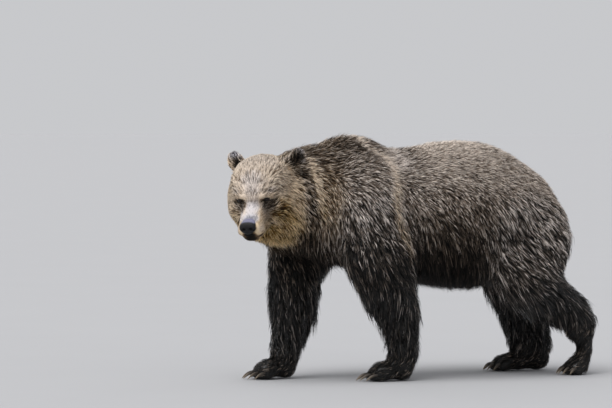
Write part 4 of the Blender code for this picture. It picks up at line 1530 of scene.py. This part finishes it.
class Coat:
    """Tufts of hair, each a closed spike of three sides that lies along the skin."""

    ROOT_SINK = 0.0015  # roots start this far under the skin
    PATCH = 0.003  # a tuft's patch on the map that bakes read
    EDGE = 0.004  # kept clear round that map
    ROOT_WIDTH = 0.62  # of a bent tuft, as a share of its middle's
    SHORT = 0.026  # shorter tufts are straight
    STRETCH = 0.34  # locks are longer than wide: their length counts this much
    SAG = 0.30  # how far loose hair hangs off the underside, as a share of its length

    LENGTHS, DEPTHS, WIDTHS = (0.70, 1.22), (0.45, 1.10), (0.70, 1.15)  # from tuft to tuft
    DRAWN = (0.7, 1.1)  # how far tufts are drawn to their lock's middle
    GUARD_SHARE, GUARD_RISE, GUARD_WIDTH = 0.06, (1.1, 1.4), 0.7  # the longer, thinner hairs
    NEAREST = 7  # locks that a tuft chooses from

    def __init__(self, skin: Skin) -> None:
        """Plants every tuft.

        Args:
            skin: the skin that the hair grows from.
        """
        self.skin = skin
        self.chance = np.random.default_rng(SEED)
        points = [Vector(point) for point in skin.points]
        self.tree = BVHTree.FromPolygons(points, [tuple(t) for t in skin.triangles.tolist()])
        self.plant()

    def _scatter(self, weights: np.ndarray) -> tuple[np.ndarray, np.ndarray]:
        """Spreads points over the skin.

        Args:
            weights: how many points each triangle should get.

        Returns:
            The triangle and the three shares of its corners, for each point.
        """
        ladder = np.cumsum(weights)
        count = int(ladder[-1])
        steps = (np.arange(count) + self.chance.random(count) * 0.8) * (ladder[-1] / count)
        triangle = np.minimum(np.searchsorted(ladder, steps), len(weights) - 1)
        root = np.sqrt(self.chance.random(count))
        second = self.chance.random(count)
        shares = np.column_stack((1 - root, root * (1 - second), root * second))
        return triangle, shares

    def _read(self, values: np.ndarray, triangle: np.ndarray, shares: np.ndarray) -> np.ndarray:
        """Values of the skin at scattered points.

        Args:
            values: one for each of the skin's points.
            triangle: the triangle of each scattered point.
            shares: the shares of its corners.

        Returns:
            One for each scattered point.
        """
        corners = values[self.skin.triangles[triangle]]
        return (corners * (shares if values.ndim == 1 else shares[:, :, None])).sum(axis=1)

    def _areas(self) -> np.ndarray:
        """The area of each triangle of the skin."""
        a, b, c = (self.skin.points[self.skin.triangles[:, k]] for k in range(3))
        return np.linalg.norm(np.cross(b - a, c - a), axis=1) / 2

    def plant(self) -> None:
        """Gives each tuft its root, its bend, its tip, its width and its strand's shade."""
        skin, chance = self.skin, self.chance
        areas = self._areas()
        spread = (skin.at["spread"] * (1 - self._bare()))[skin.triangles].mean(axis=1)
        triangle, shares = self._scatter(areas * spread)

        def read(values: np.ndarray) -> np.ndarray:
            """Values of the skin at the roots."""
            return self._read(values, triangle, shares)

        at = {name: read(values) for name, values in skin.at.items()}
        self.part = skin.part[skin.triangles[triangle, np.argmax(shares, axis=1)]]
        self.root = read(skin.points)
        self.normal = unit(read(skin.normals))
        self.marks = read(skin.marks)
        flow = laid_on(read(skin.flow), self.normal)
        count = len(self.root)
        shade, pull, sway, curve, swell = self._locks(areas)
        self.wet = np.clip(at["wet"], 0, 1)
        swell = np.exp((0.09 + 0.18 * self.wet) * swell)
        edge = np.clip(np.linalg.norm(pull, axis=1) / (at["cell"] * 0.5), 0.0, 1.4)
        side = np.cross(self.normal, flow)
        wander = sway * 0.10 + chance.normal(0.0, 0.08, count)
        flow = unit(flow + side * wander[:, None])
        length = at["length"] * chance.uniform(*self.LENGTHS, count) * swell
        depth = at["depth"] * chance.uniform(*self.DEPTHS, count) * swell * (1.16 - 0.32 * edge)
        guard = chance.random(count) < self.GUARD_SHARE
        depth *= np.where(guard, chance.uniform(*self.GUARD_RISE, count), 1.0)
        drawn = pull * (at["bunch"] * chance.uniform(*self.DRAWN, count))[:, None]
        bend, bend_normal = self._over_skin(self.root + flow * (length * 0.48)[:, None])
        tip, tip_normal = self._over_skin(self.root + flow * length[:, None])
        bowed = side * (curve * length * 0.05)[:, None]
        self.bend = bend + bend_normal * (depth * 0.78)[:, None] + drawn * 0.45 + bowed
        self.tip = tip + tip_normal * depth[:, None] + drawn
        self.short = length < self.SHORT
        long = length > self.SHORT
        self.tip[:, 2] -= self.SAG * length * eased(-tip_normal[:, 2], -0.1, 0.8) * long
        thin = np.where(guard, self.GUARD_WIDTH, 1.0)
        self.width = at["width"] * chance.uniform(*self.WIDTHS, count) * thin
        # Tufts at a lock's edge are painted darker and those along its middle paler: painted shade
        # in the gaps between locks.
        painted_gap_shade = (0.16 + 0.36 * at["head"]) * (edge - 0.5)
        strand = 0.11 * shade + chance.normal(0.0, 0.24, count) - painted_gap_shade
        share = np.clip(0.10 + 1.8 * at["bunch"], 0.0, 1.0) * (1 + 0.38 * at["head"])
        self.strand = np.clip(0.5 + strand * share, 0, 1)
        self.root = self.root - self.normal * self.ROOT_SINK
        for line in (self.root, self.bend, self.tip):
            line[:, 2] = np.maximum(line[:, 2], FLOOR_GAP)

    def _bare(self) -> np.ndarray:
        """1 where no hair grows: the soles, the nose's seat, the eyes and the lips.

        Returns:
            A share for each of the skin's points.
        """
        skin = self.skin
        local = skin.axes.local(skin.points)
        bare = skin.at["sole"].copy()
        nose = soft_ball(local, (0.0, -0.168, -0.058), (0.035, 0.024, 0.024))
        nose = np.maximum(nose, soft_ball(local, (0.0, -0.138, -0.034), (0.030, 0.014, 0.014)))
        bare = np.maximum(bare, eased(nose, 0.40, 0.60))
        for side in SIDES.values():
            _, past, distance = Socket(side).seen_from(local)
            bare = np.maximum(bare, (1 - eased(past, 0.18, 0.34)) * (distance < Socket.REACH))
        return bare

    def _locks(self, areas: np.ndarray) -> tuple[np.ndarray, ...]:
        """Gathers the tufts into locks, which are longer than they are wide.

        Args:
            areas: the area of each triangle of the skin.

        Returns:
            For each tuft its lock's shade, the way to the lock's middle line, and the lock's
            sway, curve and swell.
        """
        skin = self.skin
        cells = skin.at["cell"][skin.triangles].mean(axis=1)
        triangle, shares = self._scatter(areas * self.STRETCH / (cells * cells))
        middles = self._read(skin.points, triangle, shares)
        flows = unit(self._read(skin.flow, triangle, shares))
        tree = KDTree(len(middles))
        for index, middle in enumerate(middles):
            tree.insert(Vector(middle), index)
        tree.balance()
        found = (tree.find_n(Vector(root), self.NEAREST) for root in self.root)
        near = np.array([[hit[1] for hit in hits] for hits in found])
        offset = middles[near] - self.root[:, None, :]
        line = flows[near]
        ahead = (offset * line).sum(axis=2, keepdims=True) * line
        reach = np.linalg.norm(offset - ahead + ahead * self.STRETCH, axis=2)
        pick = (np.arange(len(near)), np.argmin(reach, axis=1))
        own = near[pick]
        across = (offset - ahead)[pick]
        shade, sway, curve, swell = np.clip(self.chance.normal(0.0, 1.0, (4, len(middles))), -2, 2)
        return shade[own], across, sway[own], curve[own], swell[own]

    def _over_skin(self, places: np.ndarray) -> tuple[np.ndarray, np.ndarray]:
        """The nearest places on the skin, with their normals."""
        found = [self.tree.find_nearest(Vector(place)) for place in places]
        return np.array([hit[0] for hit in found]), np.array([hit[1] for hit in found])

    # ---- the meshes

    def pieces(self, material: bpy.types.Material) -> Iterator[tuple[bpy.types.Object, str]]:
        """Makes the coat's objects, each with its slot.

        Args:
            material: the hair's finish.

        Yields:
            Each piece and its slot.
        """
        nodes = self.skin.nodes
        local = self.skin.axes.local(self.root)
        for plan in coat_pieces():
            own = np.isin(self.part, [nodes.index(name) for name in plan.nodes])
            if plan.side:
                across = local[:, 0] if plan.on_head else self.root[:, 0]
                own &= across * plan.side >= 0
            mesh = self._mesh(plan, np.flatnonzero(own))
            yield new_piece(plan.name, mesh, material), plan.slot

    def _mesh(self, plan: CoatPiece, chosen: np.ndarray) -> bpy.types.Mesh:
        """Joins the chosen tufts into one mesh.

        Args:
            plan: the piece.
            chosen: which tufts it holds.

        Returns:
            The mesh, with what its finish reads.
        """
        flat = self._flattened(plan, self.root[chosen])
        short = self.short[chosen]
        groups = [(BENT, chosen[~short], flat[~short]), (STRAIGHT, chosen[short], flat[short])]
        points, lock, marks, places = [], [], [], []
        for spike, tufts, spots in groups:
            points.append(self._shaped(spike, tufts).reshape(-1, 3))
            held = np.empty((len(tufts), spike.verts, 3))
            held[:, :, 0] = spike.along
            held[:, :, 1] = self.strand[tufts][:, None]
            held[:, :, 2] = self.wet[tufts][:, None]
            lock.append(held.reshape(-1, 3))
            marks.append(np.repeat(self.marks[tufts], spike.verts, axis=0))
            corners = spots[:, None, :] + spike.patch()[None, :, :] * self.PATCH
            places.append(corners.reshape(-1, 2))
        mesh = self._joined(plan.name, np.concatenate(points), [(g[0], len(g[1])) for g in groups])
        set_vectors(mesh, "lock", np.concatenate(lock))
        set_vectors(mesh, "marks", np.concatenate(marks))
        layer = mesh.uv_layers.new(name="OFBake")
        layer.data.foreach_set("uv", np.concatenate(places).astype(np.float32).ravel())
        return mesh

    def _shaped(self, spike: Spike, tufts: np.ndarray) -> np.ndarray:
        """The points of tufts of one kind: rings along each middle line, then the tip.

        Args:
            spike: the kind.
            tufts: which tufts.

        Returns:
            The points, tuft by tuft.
        """
        root, bend, tip = self.root[tufts], self.bend[tufts], self.tip[tufts]
        width = self.width[tufts][:, None]
        points = np.empty((len(tufts), spike.verts, 3))
        rings = [(root, bend - root, self.ROOT_WIDTH), (bend, tip - root, 1.0)]
        if spike is STRAIGHT:
            rings = [(root, tip - root, 1.0)]
        for ring, (middle, ahead, share) in enumerate(rings):
            side = unit(np.cross(self.normal[tufts], ahead))
            up = unit(np.cross(ahead, side))
            half = side * width * share
            points[:, ring * 3 + 0] = middle + half - up * width * 0.15
            points[:, ring * 3 + 1] = middle + up * width * 0.55 * share
            points[:, ring * 3 + 2] = middle - half - up * width * 0.15
        points[:, -1] = tip
        return points

    @staticmethod
    def _joined(name: str, points: np.ndarray, groups: list[tuple[Spike, int]]) -> bpy.types.Mesh:
        """One mesh of closed spikes.

        Args:
            name: the mesh's name.
            points: the points of all the spikes, kind after kind.
            groups: each kind with how many there are.

        Returns:
            The mesh.
        """
        loops, sizes, start = [], [], 0
        for spike, count in groups:
            corners = np.concatenate([np.array(face) for face in spike.faces])
            firsts = start + np.arange(count)[:, None] * spike.verts
            loops.append((firsts + corners).ravel())
            sizes.append(np.tile([len(face) for face in spike.faces], count))
            start += count * spike.verts
        corners, lengths = np.concatenate(loops), np.concatenate(sizes)
        mesh = bpy.data.meshes.new(name)
        mesh.vertices.add(len(points))
        mesh.vertices.foreach_set("co", points.astype(np.float32).ravel())
        mesh.loops.add(len(corners))
        mesh.loops.foreach_set("vertex_index", corners.astype(np.int32))
        mesh.polygons.add(len(lengths))
        starts = np.concatenate(([0], np.cumsum(lengths)[:-1]))
        mesh.polygons.foreach_set("loop_start", starts.astype(np.int32))
        mesh.update(calc_edges=True)
        return mesh

    def _flattened(self, plan: CoatPiece, root: np.ndarray) -> np.ndarray:
        """Where each root lies on the part's skin, laid flat in a unit square.

        Args:
            plan: the piece.
            root: the tufts' roots.

        Returns:
            One place for each root.
        """
        spots = self.skin.axes.local(root) if plan.on_head else root
        if plan.unwrap is Unwrap.TUBE:
            return self._square(self._round_leg(spots))
        centre = (spots.min(axis=0) + spots.max(axis=0)) / 2
        centre[0] = 0.0
        reach = spots - centre
        pole, ahead = (2, -reach[:, 1]) if plan.on_head else (1, reach[:, 2])
        across = np.arctan2(reach[:, 0] * plan.side, ahead)
        distance = np.maximum(np.linalg.norm(reach, axis=1), 1e-6)
        down = np.arccos(np.clip(reach[:, pole] / distance, -1, 1))
        return self._square(np.column_stack((across, down)))

    def _round_leg(self, spots: np.ndarray) -> np.ndarray:
        """The angle round the leg's own middle line, and the height.

        Args:
            spots: places on one leg.

        Returns:
            The angle and the height of each.
        """
        height = spots[:, 2]
        levels = np.linspace(height.min(), height.max(), 12)
        bins = np.clip(np.digitize(height, levels) - 1, 0, len(levels) - 2)
        slices = [spots[bins == k, :2] for k in range(len(levels) - 1)]
        middles = np.array([(part if len(part) else spots[:, :2]).mean(axis=0) for part in slices])
        mids = (levels[:-1] + levels[1:]) / 2
        centre = np.column_stack([np.interp(height, mids, middles[:, k]) for k in range(2)])
        reach = spots[:, :2] - centre
        return np.column_stack((np.arctan2(reach[:, 0], -reach[:, 1]), height))

    def _square(self, flat: np.ndarray) -> np.ndarray:
        """Fits a flat layout into the unit square, clear of its edges."""
        low, high = flat.min(axis=0), flat.max(axis=0)
        return self.EDGE + (flat - low) / (high - low) * (1 - 2 * self.EDGE)


# ---------------------------------------------------------------- eyes, nose and claws


@dataclass
class Eyes:
    """Two glossy eyeballs, each under an upper and a lower lid."""

    axes: HeadAxes
    rings: int = 28
    spokes: int = 48
    rim: Levels = (  # the lids' height over the ball, in millimetres, at angles past the opening
        (0.0, -0.5), (0.0, 0.6), (0.04, 1.5), (0.10, 1.8), (0.18, 1.6), (0.28, 1.0), (0.40, 0.2),
        (0.60, -2.5),
    )

    def _shell(
        self, name: str, socket: Socket, rows: list[tuple[np.ndarray, np.ndarray, np.ndarray]]
    ) -> bpy.types.Mesh:
        """A mesh of closed rows of points round an eye's look.

        Args:
            name: the mesh's name.
            socket: the eye.
            rows: each row's angles from the look, distances and marks, spoke by spoke.

        Returns:
            The mesh, with its marks.
        """
        angle = self._angles() + socket.side * socket.SLANT
        points, marks = [], []
        for polar, distance, mark in rows:
            way = np.column_stack(
                (np.sin(polar) * np.cos(angle), np.sin(polar) * np.sin(angle), np.cos(polar))
            )
            points.append(socket.centre + (way * distance[:, None]) @ socket.turn.T)
            marks.append(np.column_stack((mark, angle / (2 * math.pi), np.zeros(self.spokes))))
        places = self.axes.world(np.concatenate(points))
        mesh = mesh_of(name, places, grid_faces(len(rows), self.spokes))
        set_vectors(mesh, "marks", np.concatenate(marks))
        return mesh

    def _angles(self) -> np.ndarray:
        """The spokes' angles round the look."""
        return np.arange(self.spokes) * 2 * math.pi / self.spokes

    def ball(self, name: str, side: float, material: bpy.types.Material) -> bpy.types.Object:
        """One eyeball with its bulging cornea.

        Args:
            name: the piece's name.
            side: +1 for the left eye, -1 for the right.
            material: its finish.

        Returns:
            The piece.
        """
        rows = []
        for polar in np.linspace(0, math.pi, self.rings + 1):
            bulge = Socket.RADIUS * (1 + 0.04 * math.exp(-((polar / 0.45) ** 2)))
            rows.append([np.full(self.spokes, value) for value in (polar, bulge, polar / 1.2)])
        mesh = self._shell(name, Socket(side), rows)
        weld(mesh)
        return new_piece(name, mesh, material)

    def lids(self, name: str, side: float, material: bpy.types.Material) -> bpy.types.Object:
        """One eye's two lids: a rolled rim round the almond opening, sunk into the skin.

        Args:
            name: the piece's name.
            side: +1 for the left eye, -1 for the right.
            material: its finish.

        Returns:
            The piece.
        """
        socket = Socket(side)
        heavy = 1.0 + 0.5 * np.maximum(np.sin(self._angles()), 0.0)
        edge = socket.opening(self._angles())
        rows = [
            (edge + past, Socket.RADIUS + lift * 0.001 * heavy, np.full(self.spokes, past * 2.0))
            for past, lift in self.rim
        ]
        return new_piece(name, self._shell(name, socket, rows), material)


@dataclass
class Nose:
    """The nose leather: a broad pad with two comma nostrils and a groove below."""

    axes: HeadAxes
    rings: int = 90
    spokes: int = 120
    radii: Point = (0.0385, 0.0205, 0.0285)
    boxiness: Point = (0.86, 0.72, 0.86)  # 1 is round

    def piece(self, material: bpy.types.Material) -> bpy.types.Object:
        """Builds the nose round the middle of its node.

        Args:
            material: the leather.

        Returns:
            The piece.
        """
        turns = np.linspace(0, 2 * math.pi, self.spokes, endpoint=False)
        rows = np.linspace(0, math.pi, self.rings + 1)
        polar, angle = (grid.ravel() for grid in np.meshgrid(rows, turns, indexing="ij"))
        round_axis = np.sin(polar)
        ball = np.column_stack(
            (round_axis * np.cos(angle), -np.cos(polar), round_axis * np.sin(angle))
        )
        shape = np.sign(ball) * np.abs(ball) ** np.array(self.boxiness) * np.array(self.radii)
        self._lean(ball, shape)
        marks = self._carve(ball, shape)
        places = self.axes.world(shape + self.axes.local(HeadAxes.middle("nose")))
        mesh = mesh_of("nose_leather", places, grid_faces(self.rings + 1, self.spokes))
        set_vectors(mesh, "marks", marks)
        weld(mesh)
        return new_piece("nose_leather", mesh, material)

    @staticmethod
    def _lean(ball: np.ndarray, shape: np.ndarray) -> None:
        """Narrows the pad downwards and backwards, and pushes its top back.

        Args:
            ball: the points on a ball, before they were shaped.
            shape: the pad's points, which are moved.
        """
        below = -ball[:, 2]
        shape[:, 0] *= 1 - 0.34 * eased(below, 0.05, 1.0)
        shape[:, 1] -= 0.003 * eased(below, 0.0, 0.9)
        tucked = 1 - 0.22 * eased(ball[:, 1], -0.35, 0.6)
        shape[:, 0] *= tucked
        shape[:, 2] *= tucked * (1 - 0.10 * eased(ball[:, 2], 0.0, 0.5))
        lean = eased(ball[:, 1], -0.55, 0.5) * eased(ball[:, 2], 0.0, 0.55)
        shape[:, 1] += 0.022 * lean
        shape[:, 2] += 0.010 * lean + 0.001

    @staticmethod
    def _carve(ball: np.ndarray, shape: np.ndarray) -> np.ndarray:
        """Sinks the nostrils and the groove, and raises the wings.

        Args:
            ball: the points on a ball, before they were shaped.
            shape: the pad's points, which are moved.

        Returns:
            How far into the painted sky reflection along the top, how far into the nostrils'
            painted shade, and how grooved each point is.
        """
        front = eased(-ball[:, 1], 0.0, 0.5)
        hollow = np.zeros(len(ball))
        for side in SIDES.values():
            spots = (
                ((0.0150, -0.019, -0.001), (0.0086, 0.02, 0.0074)),  # nostril
                ((0.0250, -0.013, -0.0062), (0.0090, 0.02, 0.0036)),  # its tail
                ((0.0180, -0.015, 0.0090), (0.011, 0.02, 0.0045)),  # wing
            )
            hole, tail, wing = (soft_ball(shape, on_side(c, side), radii) for c, radii in spots)
            hollow = np.maximum(hollow, np.maximum(hole, tail * 0.8))
            shape[:, 1] -= wing * 0.0022 * front
        shape[:, 1] += hollow * front * 0.010
        groove = ridge(shape[:, 0], 0.0, 0.0016) * eased(-ball[:, 2], -0.1, 0.3) * front
        shape[:, 1] += groove * 0.0030
        # the band along the top, where the sky's reflection is painted
        edge = eased(shape[:, 2] + 0.35 * shape[:, 1] + 7.0 * shape[:, 0] ** 2, 0.0215, 0.0335)
        return np.column_stack((edge, eased(hollow * front, 0.35, 0.8), groove))


@dataclass
class Claws:
    """Curved horn claws, one piece for each paw, swept along their paths by Geometry Nodes."""

    arch: float = 0.22  # how far a claw arches, as a share of its length
    steps: int = 16
    sides: int = 14
    thickness: float = 0.0066
    oval: Point = (0.78, 1.0, 1.0)  # a claw's section

    def piece(self, leg: str, material: bpy.types.Material) -> tuple[bpy.types.Object, list[str]]:
        """Builds the claws of one paw.

        Args:
            leg: the paw, such as "front_left".
            material: the horn.

        Returns:
            The piece and the nodes that it stands for.
        """
        nodes = sorted(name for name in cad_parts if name.startswith(f"claw_{leg}_"))
        data = bpy.data.curves.new("paths", "CURVE")
        data.dimensions = "3D"
        for node in nodes:
            base, tip = self._ends(node)
            spline = data.splines.new("POLY")
            spline.points.add(self.steps)
            rise = Vector((0, 0, (tip - base).length * self.arch))
            for index, point in enumerate(spline.points):
                part = index / self.steps
                place = base.lerp(tip, part) + rise * 4 * part * (1 - part) * 0.6
                point.co = (*place, 1.0)
        holder = placed("paths", data)
        group = self._sweep(material)
        sweep = holder.modifiers.new("sweep", "NODES")
        sweep.node_group = group
        for item in group.interface.items_tree:
            if item.in_out == "INPUT" and item.name == "Thickness":
                sweep[item.identifier] = self.thickness
        mesh = evaluated(holder)
        mesh.name = f"claws_{leg}"
        return placed(mesh.name, mesh), nodes

    def _ends(self, node: str) -> tuple[Vector, Vector]:
        """The middle of a claw's root, and its tip.

        Args:
            node: the claw's node.

        Returns:
            The two places.
        """
        places = points_of(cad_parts[node].data)
        tip = places[np.argmin(places[:, 2])]
        reach = np.linalg.norm(places - tip, axis=1)
        base = places[reach > reach.max() * 0.93].mean(axis=0)
        return Vector(base), Vector(tip)

    def _sweep(self, material: bpy.types.Material) -> bpy.types.NodeTree:
        """A tree that sweeps a tapering oval along each path and marks how far along it is.

        Args:
            material: the horn.

        Returns:
            The tree.
        """
        group = bpy.data.node_groups.new("claw_sweep", "GeometryNodeTree")
        for name, way, kind in (
            ("Geometry", "INPUT", "NodeSocketGeometry"),
            ("Thickness", "INPUT", "NodeSocketFloat"),
            ("Geometry", "OUTPUT", "NodeSocketGeometry"),
        ):
            group.interface.new_socket(name, in_out=way, socket_type=kind)
        tree = Tree(group)
        paths = tree.node("NodeGroupInput", {}, {})
        along = tree.node("GeometryNodeSplineParameter", {}, {}, "Factor")
        radius = (1.02 - along**2.2) * paths.beside("Thickness")
        sockets = {"Resolution": self.sides, "Radius": 1.0}
        ring = tree.node("GeometryNodeCurvePrimitiveCircle", {"mode": "RADIUS"}, sockets)
        oval = tree.node("GeometryNodeTransform", {}, {"Geometry": ring, "Scale": self.oval})
        settings = {"domain": "POINT", "captured": "along"}
        sockets = {"Geometry": paths, "along": along}
        kept = tree.node("GeometryNodeCaptureAttribute", settings, sockets)
        sockets = {"Curve": kept, "Profile Curve": oval, "Scale": radius, "Fill Caps": True}
        swept = tree.node("GeometryNodeCurveToMesh", {}, sockets)
        marks = tree.node("ShaderNodeCombineXYZ", {}, {0: kept.beside("along")})
        settings = {"data_type": "FLOAT_VECTOR", "domain": "POINT"}
        sockets = {"Geometry": swept, "Name": "marks", "Value": marks}
        last = tree.node("GeometryNodeStoreNamedAttribute", settings, sockets)
        for kind, sockets in (
            ("GeometryNodeSetShadeSmooth", {}),
            ("GeometryNodeRealizeInstances", {}),
            ("GeometryNodeSetMaterial", {"Material": material}),
            ("NodeGroupOutput", {}),
        ):
            last = tree.node(kind, {}, {0: last, **sockets})
        return group


# ---------------------------------------------------------------- the studio


@dataclass
class Studio:
    """A pale floor, soft light from above, and the camera."""

    azimuth: float = 68.0  # degrees from -Y towards +X
    elevation: float = 1.5
    distance: float = 14.0
    lens: float = 181.0
    aim: Point = (-0.198, -0.401, 0.787)
    sun: float = 2.30
    sun_width: float = 45.0  # degrees
    sun_from: Point = (0.22, -0.45, 1.0)
    room: tuple[float, ...] = (0.96, 0.97, 1.0, 1.0)
    room_strength: float = 0.60
    floor: StudioFinish = StudioFinish("floor_paint", (0.4605, 0.4612, 0.4710))
    floor_reach: float = 300.0

    def camera(self) -> None:
        """Sets the camera at the angle and framing of the view."""
        data = bpy.data.cameras.new("view")
        data.lens = self.lens
        data.sensor_width = 36.0
        data.clip_end = 1000.0
        turn, rise = math.radians(self.azimuth), math.radians(self.elevation)
        level = math.cos(rise)
        way = Vector((math.sin(turn) * level, -math.cos(turn) * level, math.sin(rise)))
        camera = placed("view", data)
        camera.location = Vector(self.aim) + way * self.distance
        look = Vector(self.aim) - camera.location
        camera.rotation_euler = look.to_track_quat("-Z", "Y").to_euler()
        bpy.context.scene.camera = camera

    def lights(self) -> None:
        """A broad soft light from high up, and an even room all round."""
        data = bpy.data.lights.new("skylight", "SUN")
        data.energy = self.sun
        data.angle = math.radians(self.sun_width)
        lamp = placed("skylight", data)
        lamp.rotation_euler = Vector(self.sun_from).to_track_quat("Z", "Y").to_euler()
        world = bpy.data.worlds.new("room")
        world.use_nodes = True
        background = world.node_tree.nodes["Background"]
        background.inputs["Color"].default_value = self.room
        background.inputs["Strength"].default_value = self.room_strength
        bpy.context.scene.world = world
        bpy.context.scene.view_settings.view_transform = "Standard"

    def ground(self) -> None:
        """Lays a wide plain floor."""
        corners = np.array([(-1, -1, 0), (1, -1, 0), (1, 1, 0), (-1, 1, 0)]) * self.floor_reach
        flat = mesh_of("floor", corners, [(0, 1, 2, 3)])
        new_piece("floor", flat, self.floor.material())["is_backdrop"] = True


def write_sizes() -> None:
    """Logs the CAD's box and the dressed bear's box."""
    boxes = {"cad": CAD_BOX, "visual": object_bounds()}
    plain = {name: [[float(v) for v in corner] for corner in box] for name, box in boxes.items()}
    LOG.info("boxes: %s", plain)


def main() -> None:
    """Builds the bear piece by piece, then the studio."""
    logging.basicConfig(level=logging.INFO, format="%(relativeCreated)6.0f ms %(message)s")
    axes = HeadAxes()
    skin = Skin(axes)
    LOG.info("skin shaped")
    under = HairFinish("under_fur", shade=-0.06, on_tufts=False)
    dress(skin.piece(under.material()), "brown_fur", *skin.nodes)
    fur = HairFinish().material()
    coat = Coat(skin)
    LOG.info("%d tufts planted", len(coat.root))
    for piece, slot in coat.pieces(fur):
        dress(piece, slot)
    eyes = Eyes(axes)
    surface, bare_skin = EyeFinish().material(), LidFinish().material()
    for side, sign in SIDES.items():
        dress(eyes.ball(f"eye_{side}_ball", sign, surface), "eye", f"eye_{side}")
        dress(eyes.lids(f"eye_{side}_lids", sign, bare_skin), "nose_skin")
    dress(Nose(axes).piece(NoseFinish().material()), "nose_skin", "nose")
    horn = ClawFinish().material()
    for leg in ("front_left", "front_right", "hind_left", "hind_right"):
        piece, nodes = Claws().piece(leg, horn)
        dress(piece, "claw", *nodes)
    studio = Studio()
    studio.ground()
    studio.lights()
    studio.camera()
    write_sizes()


if __name__ == "__main__":
    main()
